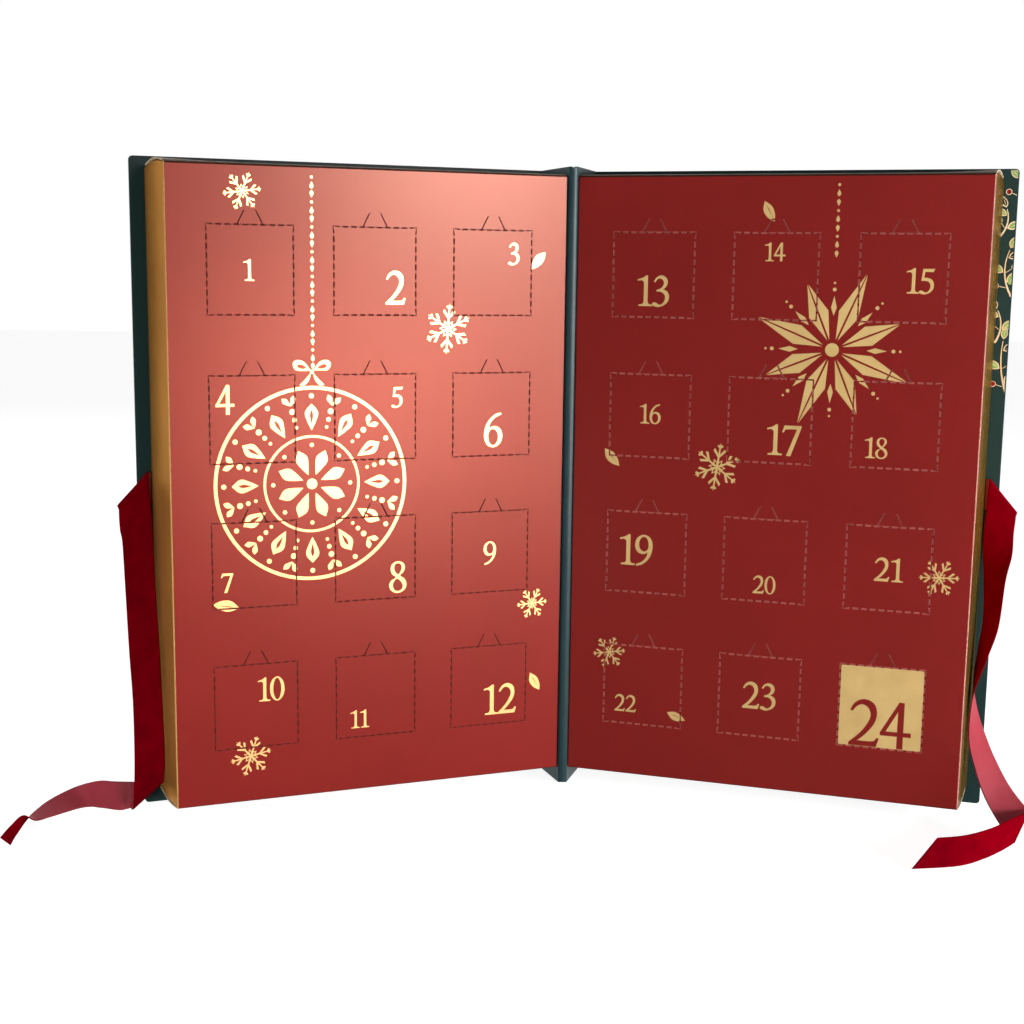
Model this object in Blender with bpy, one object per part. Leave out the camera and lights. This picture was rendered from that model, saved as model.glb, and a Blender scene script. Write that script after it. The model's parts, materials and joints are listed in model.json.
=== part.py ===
"""Book advent calendar, standing open with its door faces towards -Y.

Two cover boards and a spine of two half boards, creased between them, carry two flat cartons. Each
carton holds a card grid of twelve cells, and its face has twelve perforated doors, each with a small
tab above it that is pushed in to get a finger behind the door. A velvet ribbon leaves each cover at
mid height. Metres, +Z up, +X to the right. The origin is on the table, under the right half of the
spine, close behind the crease.
"""

import math

import bmesh
import bpy
from mathutils import Vector

# Opening of the book
FACES_ANGLE = math.radians(142.2)

# Cartons
FACE_WIDTH = 0.214
FACE_HEIGHT = 0.330
CARTON_DEPTH = 0.040
CARD = 0.0008
FORE_EDGE_FLARE = 0.004
FLAP_BOW = 0.0024
FLAP_SLIT = 0.0003
FLAP_SINK = 0.0002
FLAP_SIDE_PLAY = 0.0004

# Doors and their tabs
COLUMNS = 3
ROWS = 4
DOOR_WIDTH = 0.0435
DOOR_HEIGHT = 0.0445
SIDE_MARGIN = 0.0205
END_MARGIN = 0.0296
CUT = 0.0003
TAB_HEIGHT = 0.0067
TAB_HINGE_WIDTH = 0.0056
TAB_FOOT_WIDTH = 0.0125

# Cell grids
DIVIDER = 0.001
DIVIDER_PLAY = 0.0004

# Cover and spine boards
BOARD = 0.0023
BOARD_CORNER_RADIUS = 0.002
BOARD_EDGE_ROUND = 0.0003
FORE_OVERHANG = 0.0115
TOP_OVERHANG = 0.005
FOOT_OVERHANG = 0.009
CREASE_CLEARANCE = 0.00015
FACE_SETBACK = 0.001
SEAT_GAP = 0.0003
ORIGIN_SETBACK = 0.003

# Ribbons
RIBBON_WIDTH = 0.016
RIBBON_THICKNESS = 0.0008

# One overrun serves every cutter
OVERRUN = 0.002

# Places in a half of the book: s runs from the crease axis along the door face to the fore-edge, n runs
# from the crease axis into the depth, towards the cover, and z runs up from the table.
FACE_S = CREASE_CLEARANCE + BOARD + SEAT_GAP
FACE_N = FACE_SETBACK
FACE_Z = FOOT_OVERHANG
FACE_END_S = FACE_S + FACE_WIDTH
CARTON_END_N = FACE_N + CARTON_DEPTH
COVER_N = CARTON_END_N + SEAT_GAP
COVER_END_S = FACE_END_S + FORE_OVERHANG
COVER_HEIGHT = FOOT_OVERHANG + FACE_HEIGHT + TOP_OVERHANG
COLUMN_PITCH = (FACE_WIDTH - 2 * SIDE_MARGIN - DOOR_WIDTH) / (COLUMNS - 1)
ROW_PITCH = (FACE_HEIGHT - 2 * END_MARGIN - DOOR_HEIGHT) / (ROWS - 1)
HALF_TURN = (math.pi - FACES_ANGLE) / 2

FLAP_BOW_STEPS = 8
FLAP_LENGTH_STEPS = 4
CORNER_STEPS = 4
RIBBON_STEPS = 3
ROUNDED_EDGE_ANGLE = math.radians(60)
RIBBON_LIFT_SHARE = 0.75

LEFT = -1
RIGHT = 1
SIDE_NAMES = {LEFT: "left", RIGHT: "right"}

# Edge pairs along each ribbon, chosen by hand from where it leaves the box to its cut end. Each edge is
# (s beyond the carton's back corner, n in front of the cover, z above the table), the first two as shares
# of RIBBON_WIDTH and the last as a share of the height at which the ribbon leaves the box.
LEFT_RIBBON_SHARES = (
    ((0.03, 0.02, 1.05), (0.03, 0.02, 0.955)),
    ((0.10, 0.02, 1.05), (1.03, 0.02, 0.955)),
    ((0.14, 0.10, 1.045), (1.09, 0.10, 0.935)),
    ((0.11, 0.16, 0.985), (1.08, 0.15, 0.880)),
    ((0.05, 0.22, 0.910), (1.02, 0.22, 0.835)),
    ((0.02, 0.40, 0.730), (0.98, 0.34, 0.690)),
    ((-0.02, 0.76, 0.525), (0.93, 0.52, 0.500)),
    ((-0.04, 1.00, 0.360), (0.87, 0.66, 0.345)),
    ((-0.06, 1.13, 0.175), (0.86, 0.60, 0.165)),
    ((-0.04, 1.00, 0.105), (0.90, 0.54, 0.050)),
    ((-0.01, 0.86, 0.086), (0.95, 0.56, 0.000)),
    ((0.09, 0.68, 0.084), (1.03, 0.44, 0.000)),
    ((0.81, 0.34, 0.080), (1.17, 0.50, 0.000)),
    ((1.50, 0.40, 0.090), (1.39, 0.54, 0.000)),
    ((2.03, -0.02, 0.084), (1.91, 0.14, 0.000)),
    ((2.67, -0.84, 0.046), (2.51, -0.12, 0.000)),
    ((3.53, -0.56, 0.022), (3.55, 0.41, 0.000)),
    ((4.11, 0.10, 0.008), (4.09, 1.06, 0.014)),
    ((4.43, 0.72, 0.000), (4.47, 1.32, 0.042)),
    ((4.69, 1.62, 0.000), (4.81, 1.54, 0.030)),
    ((4.95, 2.60, 0.000), (5.23, 1.88, 0.000)),
)
RIGHT_RIBBON_SHARES = (
    ((0.03, 0.02, 1.05), (0.03, 0.02, 0.955)),
    ((0.12, 0.02, 1.05), (0.98, 0.02, 0.955)),
    ((0.14, 0.10, 1.045), (1.04, 0.10, 0.935)),
    ((0.08, 0.13, 0.955), (1.01, 0.15, 0.885)),
    ((0.06, 0.14, 0.840), (1.00, 0.34, 0.820)),
    ((0.15, 0.16, 0.735), (0.83, 0.74, 0.745)),
    ((0.21, 0.28, 0.610), (0.69, 1.10, 0.605)),
    ((0.10, 0.38, 0.510), (0.40, 1.34, 0.510)),
    ((0.03, 0.46, 0.405), (0.06, 1.46, 0.405)),
    ((0.21, 0.64, 0.320), (-0.04, 1.60, 0.320)),
    ((0.55, 0.96, 0.243), (0.00, 1.78, 0.243)),
    ((0.85, 1.28, 0.190), (0.23, 2.02, 0.172)),
    ((1.29, 1.66, 0.127), (0.54, 2.28, 0.101)),
    ((1.70, 2.04, 0.088), (0.90, 2.60, 0.050)),
    ((1.95, 2.36, 0.072), (1.29, 3.04, 0.012)),
    ((1.99, 2.74, 0.080), (1.55, 3.36, 0.000)),
    ((1.81, 3.14, 0.082), (1.49, 3.62, 0.000)),
    ((1.37, 3.78, 0.080), (1.12, 4.40, 0.000)),
    ((0.81, 4.58, 0.074), (0.59, 5.28, 0.000)),
    ((0.00, 5.40, 0.070), (-0.13, 6.12, 0.000)),
    ((-0.81, 5.90, 0.070), (-1.51, 6.84, 0.000)),
)
RIBBON_SHARES = {LEFT: LEFT_RIBBON_SHARES, RIGHT: RIGHT_RIBBON_SHARES}

PAPER_GREEN = ("covering_paper_green", (0.013, 0.036, 0.038), 0.55, 0.0)
CARD_RED = ("pearl_card_red", (0.30, 0.025, 0.025), 0.35, 0.1)
CARD_GOLD = ("foiled_card_gold", (0.42, 0.22, 0.06), 0.35, 0.6)
CARD_KRAFT = ("divider_card", (0.55, 0.47, 0.38), 0.85, 0.0)
VELVET_RED = ("velvet_ribbon_red", (0.27, 0.002, 0.008), 0.9, 0.0)


def clear_scene():
    for scene_object in list(bpy.data.objects):
        bpy.data.objects.remove(scene_object, do_unlink=True)


def material(recipe):
    """One Principled BSDF for each recipe of name, linear colour, roughness and metallic value."""
    name, colour, roughness, metallic = recipe
    found = bpy.data.materials.get(name)
    if found:
        return found
    made = bpy.data.materials.new(name)
    made.use_nodes = True
    shader = made.node_tree.nodes["Principled BSDF"]
    shader.inputs["Base Color"].default_value = (*colour, 1)
    shader.inputs["Roughness"].default_value = roughness
    shader.inputs["Metallic"].default_value = metallic
    return made


def finish(name, body, parent, recipe=None, place=(0, 0, 0), cutter=False):
    """Turns a bmesh into a placed object; a cutter stays out of renders."""
    bmesh.ops.recalc_face_normals(body, faces=body.faces)
    mesh = bpy.data.meshes.new(name)
    body.to_mesh(mesh)
    body.free()
    made = bpy.data.objects.new(name, mesh)
    bpy.context.collection.objects.link(made)
    made.parent = parent
    made.location = place
    if recipe:
        mesh.materials.append(material(recipe))
    if cutter:
        made.hide_render = True
        made.display_type = "WIRE"
    return made


def add_prism(body, outline, direction):
    """Adds a prism to a bmesh: a flat outline of 3-D points, extruded along a direction."""
    ring = [body.verts.new(point) for point in outline]
    cap = body.faces.new(ring)
    moved = bmesh.ops.extrude_face_region(body, geom=[cap], use_keep_orig=True)
    tops = [item for item in moved["geom"] if isinstance(item, bmesh.types.BMVert)]
    bmesh.ops.translate(body, verts=tops, vec=direction)


def add_block(body, low, high):
    outline = [(low[0], low[1], low[2]), (high[0], low[1], low[2]),
               (high[0], high[1], low[2]), (low[0], high[1], low[2])]
    add_prism(body, outline, (0, 0, high[2] - low[2]))


def combine(target, operation, other):
    cut = target.modifiers.new(operation.lower() + "_" + other.name, "BOOLEAN")
    cut.operation = operation
    cut.object = other
    cut.solver = "EXACT"


def half_book(side):
    """The crease axis of one half. Its children give their places as (side * s, n, z)."""
    frame = bpy.data.objects.new(SIDE_NAMES[side] + "_half_axis", None)
    bpy.context.collection.objects.link(frame)
    turn = HALF_TURN
    foot_s = CREASE_CLEARANCE + BOARD / 2
    frame.location = (
        -(foot_s * math.cos(turn) + ORIGIN_SETBACK * math.sin(turn)),
        -(ORIGIN_SETBACK * math.cos(turn) - foot_s * math.sin(turn)),
        0,
    )
    frame.rotation_euler.z = -side * turn
    return frame


def corner_arc(centre_s, centre_z, start):
    """A quarter circle in the cover's plane, from the angle start on, counter-clockwise."""
    return [
        (centre_s + BOARD_CORNER_RADIUS * math.cos(start + math.pi / 2 * step / CORNER_STEPS),
         centre_z + BOARD_CORNER_RADIUS * math.sin(start + math.pi / 2 * step / CORNER_STEPS))
        for step in range(CORNER_STEPS + 1)
    ]


def round_edges(board):
    rounding = board.modifiers.new("edge_rounding", "BEVEL")
    rounding.width = BOARD_EDGE_ROUND
    rounding.segments = 1
    rounding.limit_method = "ANGLE"
    rounding.angle_limit = ROUNDED_EDGE_ANGLE


def build_cover_board(side, frame):
    """The board's inner edge lies over the spine board's end, and its fore-edge corners are rounded."""
    corner_s = COVER_END_S - BOARD_CORNER_RADIUS
    outline = [(CREASE_CLEARANCE, 0)]
    outline += corner_arc(corner_s, BOARD_CORNER_RADIUS, -math.pi / 2)
    outline += corner_arc(corner_s, COVER_HEIGHT - BOARD_CORNER_RADIUS, 0)
    outline += [(CREASE_CLEARANCE, COVER_HEIGHT)]
    body = bmesh.new()
    add_prism(body, [(side * s, COVER_N, z) for s, z in outline], (0, BOARD, 0))
    round_edges(finish(SIDE_NAMES[side] + "_cover_board", body, frame, PAPER_GREEN))


def build_spine_board(side, frame):
    """Half of the spine, from the crease back to the cover, against the carton's inner wall."""
    body = bmesh.new()
    low = (CREASE_CLEARANCE, CREASE_CLEARANCE, 0)
    high = (CREASE_CLEARANCE + BOARD, COVER_N - SEAT_GAP, COVER_HEIGHT)
    add_block(body, (side * low[0], low[1], low[2]), (side * high[0], high[1], high[2]))
    round_edges(finish(SIDE_NAMES[side] + "_spine_board", body, frame, PAPER_GREEN))


def carton_section(inset, end_inset):
    """The carton seen from above, as (s, n) corners drawn in by inset, and by end_inset in depth."""
    return [
        (FACE_S + inset, FACE_N + end_inset),
        (FACE_END_S - inset, FACE_N + end_inset),
        (FACE_END_S + FORE_EDGE_FLARE - inset, CARTON_END_N - end_inset),
        (FACE_S + inset, CARTON_END_N - end_inset),
    ]


def add_end_flap(body, side, foot_z, bow_sign):
    """A flap folded from the door face to the back panel, bowed outwards most at the fore-edge."""
    depth = CARTON_DEPTH - CARD
    rows = []
    for along in range(FLAP_LENGTH_STEPS + 1):
        length_share = along / FLAP_LENGTH_STEPS
        row = []
        for across in range(FLAP_BOW_STEPS + 1):
            depth_share = across / FLAP_BOW_STEPS
            start_s = FACE_S + FLAP_SIDE_PLAY
            end_s = FACE_END_S + FORE_EDGE_FLARE * depth_share - FLAP_SIDE_PLAY
            s = start_s + (end_s - start_s) * length_share
            rise = bow_sign * FLAP_BOW * length_share * math.sin(math.pi * depth_share)
            n = FACE_N + CARD / 2 + depth * depth_share
            row.append([body.verts.new((side * s, n, foot_z + rise + layer * CARD)) for layer in (0, 1)])
        rows.append(row)
    for near, far in zip(rows, rows[1:]):
        for k in range(FLAP_BOW_STEPS):
            for layer in (0, 1):
                body.faces.new((near[k][layer], far[k][layer], far[k + 1][layer], near[k + 1][layer]))
        for k in (0, FLAP_BOW_STEPS):
            body.faces.new((near[k][0], far[k][0], far[k][1], near[k][1]))
    for row in (rows[0], rows[-1]):
        for k in range(FLAP_BOW_STEPS):
            body.faces.new((row[k][0], row[k + 1][0], row[k + 1][1], row[k][1]))
    bmesh.ops.triangulate(body, faces=body.faces)


def door_places(side):
    """Yields (number, s of the door's middle, z of its foot) in reading order."""
    for row in range(ROWS):
        for column in range(COLUMNS):
            steps_out = column if side == RIGHT else COLUMNS - 1 - column
            number = 1 + row * COLUMNS + column + (ROWS * COLUMNS if side == RIGHT else 0)
            s = FACE_S + SIDE_MARGIN + DOOR_WIDTH / 2 + steps_out * COLUMN_PITCH
            z = FACE_Z + FACE_HEIGHT - END_MARGIN - DOOR_HEIGHT - row * ROW_PITCH
            yield number, s, z


def door_cut(s, z):
    """The outline cut through the card round a door and the tab above it, as (s, z)."""
    tab_foot_z = z + DOOR_HEIGHT + CUT
    tab_top_z = tab_foot_z + TAB_HEIGHT + CUT
    half = DOOR_WIDTH / 2 + CUT
    foot = TAB_FOOT_WIDTH / 2 + CUT
    top = TAB_HINGE_WIDTH / 2 + CUT
    return [
        (s - half, z - CUT), (s + half, z - CUT), (s + half, tab_foot_z), (s + foot, tab_foot_z),
        (s + top, tab_top_z), (s - top, tab_top_z), (s - foot, tab_foot_z), (s - half, tab_foot_z),
    ]


def build_carton(side, frame):
    """A folded carton: a sleeve with its door face cut through, closed by a bowed flap at each end."""
    name = SIDE_NAMES[side] + "_carton"
    top_z = FACE_Z + FACE_HEIGHT
    body = bmesh.new()
    outline = [(side * s, n, FACE_Z) for s, n in carton_section(0, 0)]
    add_prism(body, outline, (0, 0, FACE_HEIGHT))
    carton = finish(name, body, frame, CARD_RED)
    carton.data.materials.append(material(CARD_GOLD))

    body = bmesh.new()
    outline = [(side * s, n, FACE_Z - OVERRUN) for s, n in carton_section(CARD, CARD)]
    add_prism(body, outline, (0, 0, FACE_HEIGHT + 2 * OVERRUN))
    combine(carton, "DIFFERENCE", finish(name + "_inside_cutter", body, frame, cutter=True))

    body = bmesh.new()
    wall_drop = FLAP_SINK + CARD + FLAP_SLIT
    for low_z, high_z in (
        (FACE_Z - OVERRUN, FACE_Z + wall_drop),
        (top_z - wall_drop, top_z + OVERRUN),
    ):
        outline = [(side * s, n, low_z) for s, n in carton_section(-OVERRUN, CARD)]
        add_prism(body, outline, (0, 0, high_z - low_z))
    combine(carton, "DIFFERENCE", finish(name + "_wall_end_cutter", body, frame, cutter=True))

    for end, foot_z, bow_sign in (("foot", FACE_Z + FLAP_SINK, -1), ("top", top_z - FLAP_SINK - CARD, 1)):
        body = bmesh.new()
        add_end_flap(body, side, foot_z, bow_sign)
        flap = finish(name + "_" + end + "_flap", body, frame, CARD_GOLD, cutter=True)
        combine(carton, "UNION", flap)

    body = bmesh.new()
    for _, s, z in door_places(side):
        outline = [(side * u, FACE_N - OVERRUN, v) for u, v in door_cut(s, z)]
        add_prism(body, outline, (0, 2 * OVERRUN, 0))
    combine(carton, "DIFFERENCE", finish(name + "_door_cutter", body, frame, cutter=True))


def build_divider_grid(side, frame):
    """Strips of card slotted together, one between each pair of neighbouring rows and columns."""
    inner_s = FACE_S + CARD + DIVIDER_PLAY
    outer_s = FACE_END_S - CARD - DIVIDER_PLAY
    foot_z = FACE_Z + CARD + DIVIDER_PLAY
    top_z = FACE_Z + FACE_HEIGHT - CARD - DIVIDER_PLAY
    near_n = FACE_N + CARD + DIVIDER_PLAY
    far_n = CARTON_END_N - CARD - DIVIDER_PLAY
    first_s = FACE_S + SIDE_MARGIN + (DOOR_WIDTH + COLUMN_PITCH) / 2 - DIVIDER / 2
    first_z = FACE_Z + END_MARGIN + (DOOR_HEIGHT + ROW_PITCH) / 2 - DIVIDER / 2
    name = SIDE_NAMES[side] + "_divider_grid"
    grid = None
    strips = [("upright", column, first_s + column * COLUMN_PITCH) for column in range(COLUMNS - 1)]
    strips += [("shelf", row, first_z + row * ROW_PITCH) for row in range(ROWS - 1)]
    for kind, index, start in strips:
        body = bmesh.new()
        if kind == "upright":
            low, high = (start, near_n, foot_z), (start + DIVIDER, far_n, top_z)
        else:
            low, high = (inner_s, near_n, start), (outer_s, far_n, start + DIVIDER)
        add_block(body, (side * low[0], low[1], low[2]), (side * high[0], high[1], high[2]))
        if grid is None:
            grid = finish(name, body, frame, CARD_KRAFT)
        else:
            strip = finish(f"{name}_{kind}_{index + 1}", body, frame, CARD_KRAFT, cutter=True)
            combine(grid, "UNION", strip)


def build_door(number, side, frame, s, z):
    """A door of card whose origin is on its fold, at the foot of its front."""
    body = bmesh.new()
    add_block(body, (-DOOR_WIDTH / 2, 0, 0), (DOOR_WIDTH / 2, CARD, DOOR_HEIGHT))
    finish(f"door_{number:02d}", body, frame, CARD_RED, (side * s, FACE_N, z))


def build_tab(number, side, frame, s, z):
    """A tab of card whose origin is on its fold, at the top of its back."""
    foot = TAB_FOOT_WIDTH / 2
    top = TAB_HINGE_WIDTH / 2
    body = bmesh.new()
    outline = [(-foot, -CARD, -TAB_HEIGHT), (foot, -CARD, -TAB_HEIGHT), (top, -CARD, 0), (-top, -CARD, 0)]
    add_prism(body, outline, (0, CARD, 0))
    fold_z = z + DOOR_HEIGHT + CUT + TAB_HEIGHT
    finish(f"tab_{number:02d}", body, frame, CARD_RED, (side * s, FACE_N + CARD, fold_z))


def ribbon_edges(side):
    """The ribbon's two edges as smooth lists of points, read from curves through the chosen pairs."""
    exit_z = COVER_HEIGHT / 2
    corner_s = FACE_END_S + FORE_EDGE_FLARE
    back_n = COVER_N - RIBBON_THICKNESS / 2
    foot_z = RIBBON_THICKNESS * RIBBON_LIFT_SHARE

    def place(share):
        return Vector((
            side * (corner_s + share[0] * RIBBON_WIDTH),
            back_n - share[1] * RIBBON_WIDTH,
            foot_z + share[2] * exit_z,
        ))

    pairs = [[place(edge) for edge in pair] for pair in RIBBON_SHARES[side]]
    edges = []
    for which in (0, 1):
        points = [pair[which] for pair in pairs]
        padded = [points[0], *points, points[-1]]
        smooth = []
        for before, start, end, after in zip(padded, padded[1:], padded[2:], padded[3:]):
            for step in range(RIBBON_STEPS):
                t = step / RIBBON_STEPS
                pull_start = (end - before) * t * (1 - t) ** 2 / 2
                pull_end = (start - after) * t * t * (1 - t) / 2
                blend = t * t * (3 - 2 * t)
                smooth.append(start.lerp(end, blend) + pull_start + pull_end)
        edges.append(smooth + [points[-1]])
    return edges


def build_ribbon(side, frame):
    """A ribbon as a thin closed strip between two edges, thickened along its own normal."""
    first, second = ribbon_edges(side)
    body = bmesh.new()
    rings = []
    count = len(first)
    for k in range(count):
        before, after = max(k - 1, 0), min(k + 1, count - 1)
        ahead = first[after] + second[after] - first[before] - second[before]
        normal = ahead.cross(second[k] - first[k]).normalized() * RIBBON_THICKNESS / 2
        corners = (first[k] - normal, second[k] - normal, second[k] + normal, first[k] + normal)
        rings.append([body.verts.new(corner) for corner in corners])
    for near, far in zip(rings, rings[1:]):
        for k in range(4):
            body.faces.new((near[k], near[(k + 1) % 4], far[(k + 1) % 4], far[k]))
    body.faces.new(rings[0])
    body.faces.new(rings[-1])
    finish(SIDE_NAMES[side] + "_ribbon", body, frame, VELVET_RED)


def main():
    clear_scene()
    for side in (LEFT, RIGHT):
        frame = half_book(side)
        build_cover_board(side, frame)
        build_spine_board(side, frame)
        build_carton(side, frame)
        build_divider_grid(side, frame)
        for number, s, z in door_places(side):
            build_door(number, side, frame, s, z)
            build_tab(number, side, frame, s, z)
        build_ribbon(side, frame)


main()
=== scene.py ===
"""The looks of the book advent calendar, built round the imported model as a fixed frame.

The book stands open on its foot edges. Each half has a printed carton with twelve perforated doors,
a gold fore-edge, paper-covered boards and a velvet ribbon with a satin back. Lengths are in metres
unless a name or a table says millimetres. +X is to the right, +Y away from the camera, +Z up.
"""

from __future__ import annotations

import json
import logging
import math
from collections.abc import Callable, Iterable, Sequence
from dataclasses import dataclass
from enum import Enum

import bmesh
import bpy
from mathutils import Matrix, Vector

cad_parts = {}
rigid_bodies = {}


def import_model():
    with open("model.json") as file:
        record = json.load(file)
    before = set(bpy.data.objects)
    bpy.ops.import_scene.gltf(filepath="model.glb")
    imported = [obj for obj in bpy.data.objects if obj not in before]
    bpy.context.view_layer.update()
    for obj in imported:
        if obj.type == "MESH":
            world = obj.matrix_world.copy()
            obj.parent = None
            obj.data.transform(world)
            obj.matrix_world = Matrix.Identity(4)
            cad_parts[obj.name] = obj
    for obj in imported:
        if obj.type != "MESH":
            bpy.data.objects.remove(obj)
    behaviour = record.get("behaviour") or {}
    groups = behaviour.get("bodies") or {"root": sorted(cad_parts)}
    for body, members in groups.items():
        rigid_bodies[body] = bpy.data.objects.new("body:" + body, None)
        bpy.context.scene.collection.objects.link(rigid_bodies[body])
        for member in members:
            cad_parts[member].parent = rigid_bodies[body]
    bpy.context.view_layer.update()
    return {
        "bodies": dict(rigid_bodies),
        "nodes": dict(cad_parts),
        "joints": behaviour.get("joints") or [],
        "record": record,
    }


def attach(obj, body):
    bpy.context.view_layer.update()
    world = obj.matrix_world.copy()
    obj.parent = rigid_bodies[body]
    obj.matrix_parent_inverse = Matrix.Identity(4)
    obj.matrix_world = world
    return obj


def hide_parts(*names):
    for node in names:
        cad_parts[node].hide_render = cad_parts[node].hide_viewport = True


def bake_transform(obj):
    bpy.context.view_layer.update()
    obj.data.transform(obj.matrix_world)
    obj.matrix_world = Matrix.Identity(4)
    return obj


LOG = logging.getLogger("book_advent_calendar")
MM = 0.001
MERGE_DISTANCE = 1e-6
CUT_TOLERANCE = 1e-7
WHITE = "#FFFFFF"

Point = tuple[float, float]
Outline = list[Point]


class Side(Enum):
    """The two halves of the open book, as the camera sees them."""

    LEFT = -1
    RIGHT = 1

    @property
    def word(self) -> str:
        """The side's name in a piece's name."""
        return self.name.lower()

    @property
    def body(self) -> str:
        """The CAD body that carries this half."""
        return f"{self.word}_half"


@dataclass(frozen=True)
class BookSizes:
    """The sizes of part.py that the dressing is fitted to, in metres."""

    turn: float = math.radians(18.9)
    board: float = 0.0023
    crease_clearance: float = 0.00015
    origin_setback: float = 0.003
    face_s: float = 0.00275
    face_end_s: float = 0.21675
    face_n: float = 0.001
    face_z: float = 0.009
    face_top_z: float = 0.339
    flare: float = 0.004
    card: float = 0.0008
    carton_end_n: float = 0.041
    cover_n: float = 0.0413
    cover_end_s: float = 0.22825
    cover_top_z: float = 0.344
    flap_bow: float = 0.0024
    flap_sink: float = 0.0002
    wall_drop: float = 0.0013
    door_width: float = 0.0435
    door_height: float = 0.0445
    door_s: tuple[float, ...] = (0.045, 0.10975, 0.1745)
    door_top_foot_z: float = 0.2649
    row_pitch: float = 0.226300 / 3
    cut: float = 0.0003
    tab_height: float = 0.0067
    tab_top: float = 0.0056
    tab_foot: float = 0.0125
    ribbon_width: float = 0.016
    ribbon_thickness: float = 0.0008


SIZES = BookSizes()


@dataclass(frozen=True)
class HalfFrame:
    """The crease axis of one half: x runs along its door face, y into its depth and z up."""

    side: Side

    def matrix(self) -> Matrix:
        """The half's own axes in the part's frame.

        Returns:
            The matrix that takes the half's axes to the part's.
        """
        foot_s = SIZES.crease_clearance + SIZES.board / 2
        cos, sin = math.cos(SIZES.turn), math.sin(SIZES.turn)
        x = -(foot_s * cos + SIZES.origin_setback * sin)
        y = -(SIZES.origin_setback * cos - foot_s * sin)
        return Matrix.Translation((x, y, 0)) @ Matrix.Rotation(-self.side.value * SIZES.turn, 4, "Z")

    def face_matrix(self, depth: float) -> Matrix:
        """A plane parallel to the door face, depth behind the crease axis, with its y axis up."""
        return self.matrix() @ Matrix.Translation((0, depth, 0)) @ Matrix.Rotation(math.pi / 2, 4, "X")

    def point(self, s: float, n: float, z: float) -> Vector:
        """The place that is s out from the crease, n deep and z high."""
        return self.matrix() @ Vector((self.side.value * s, n, z))


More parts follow.
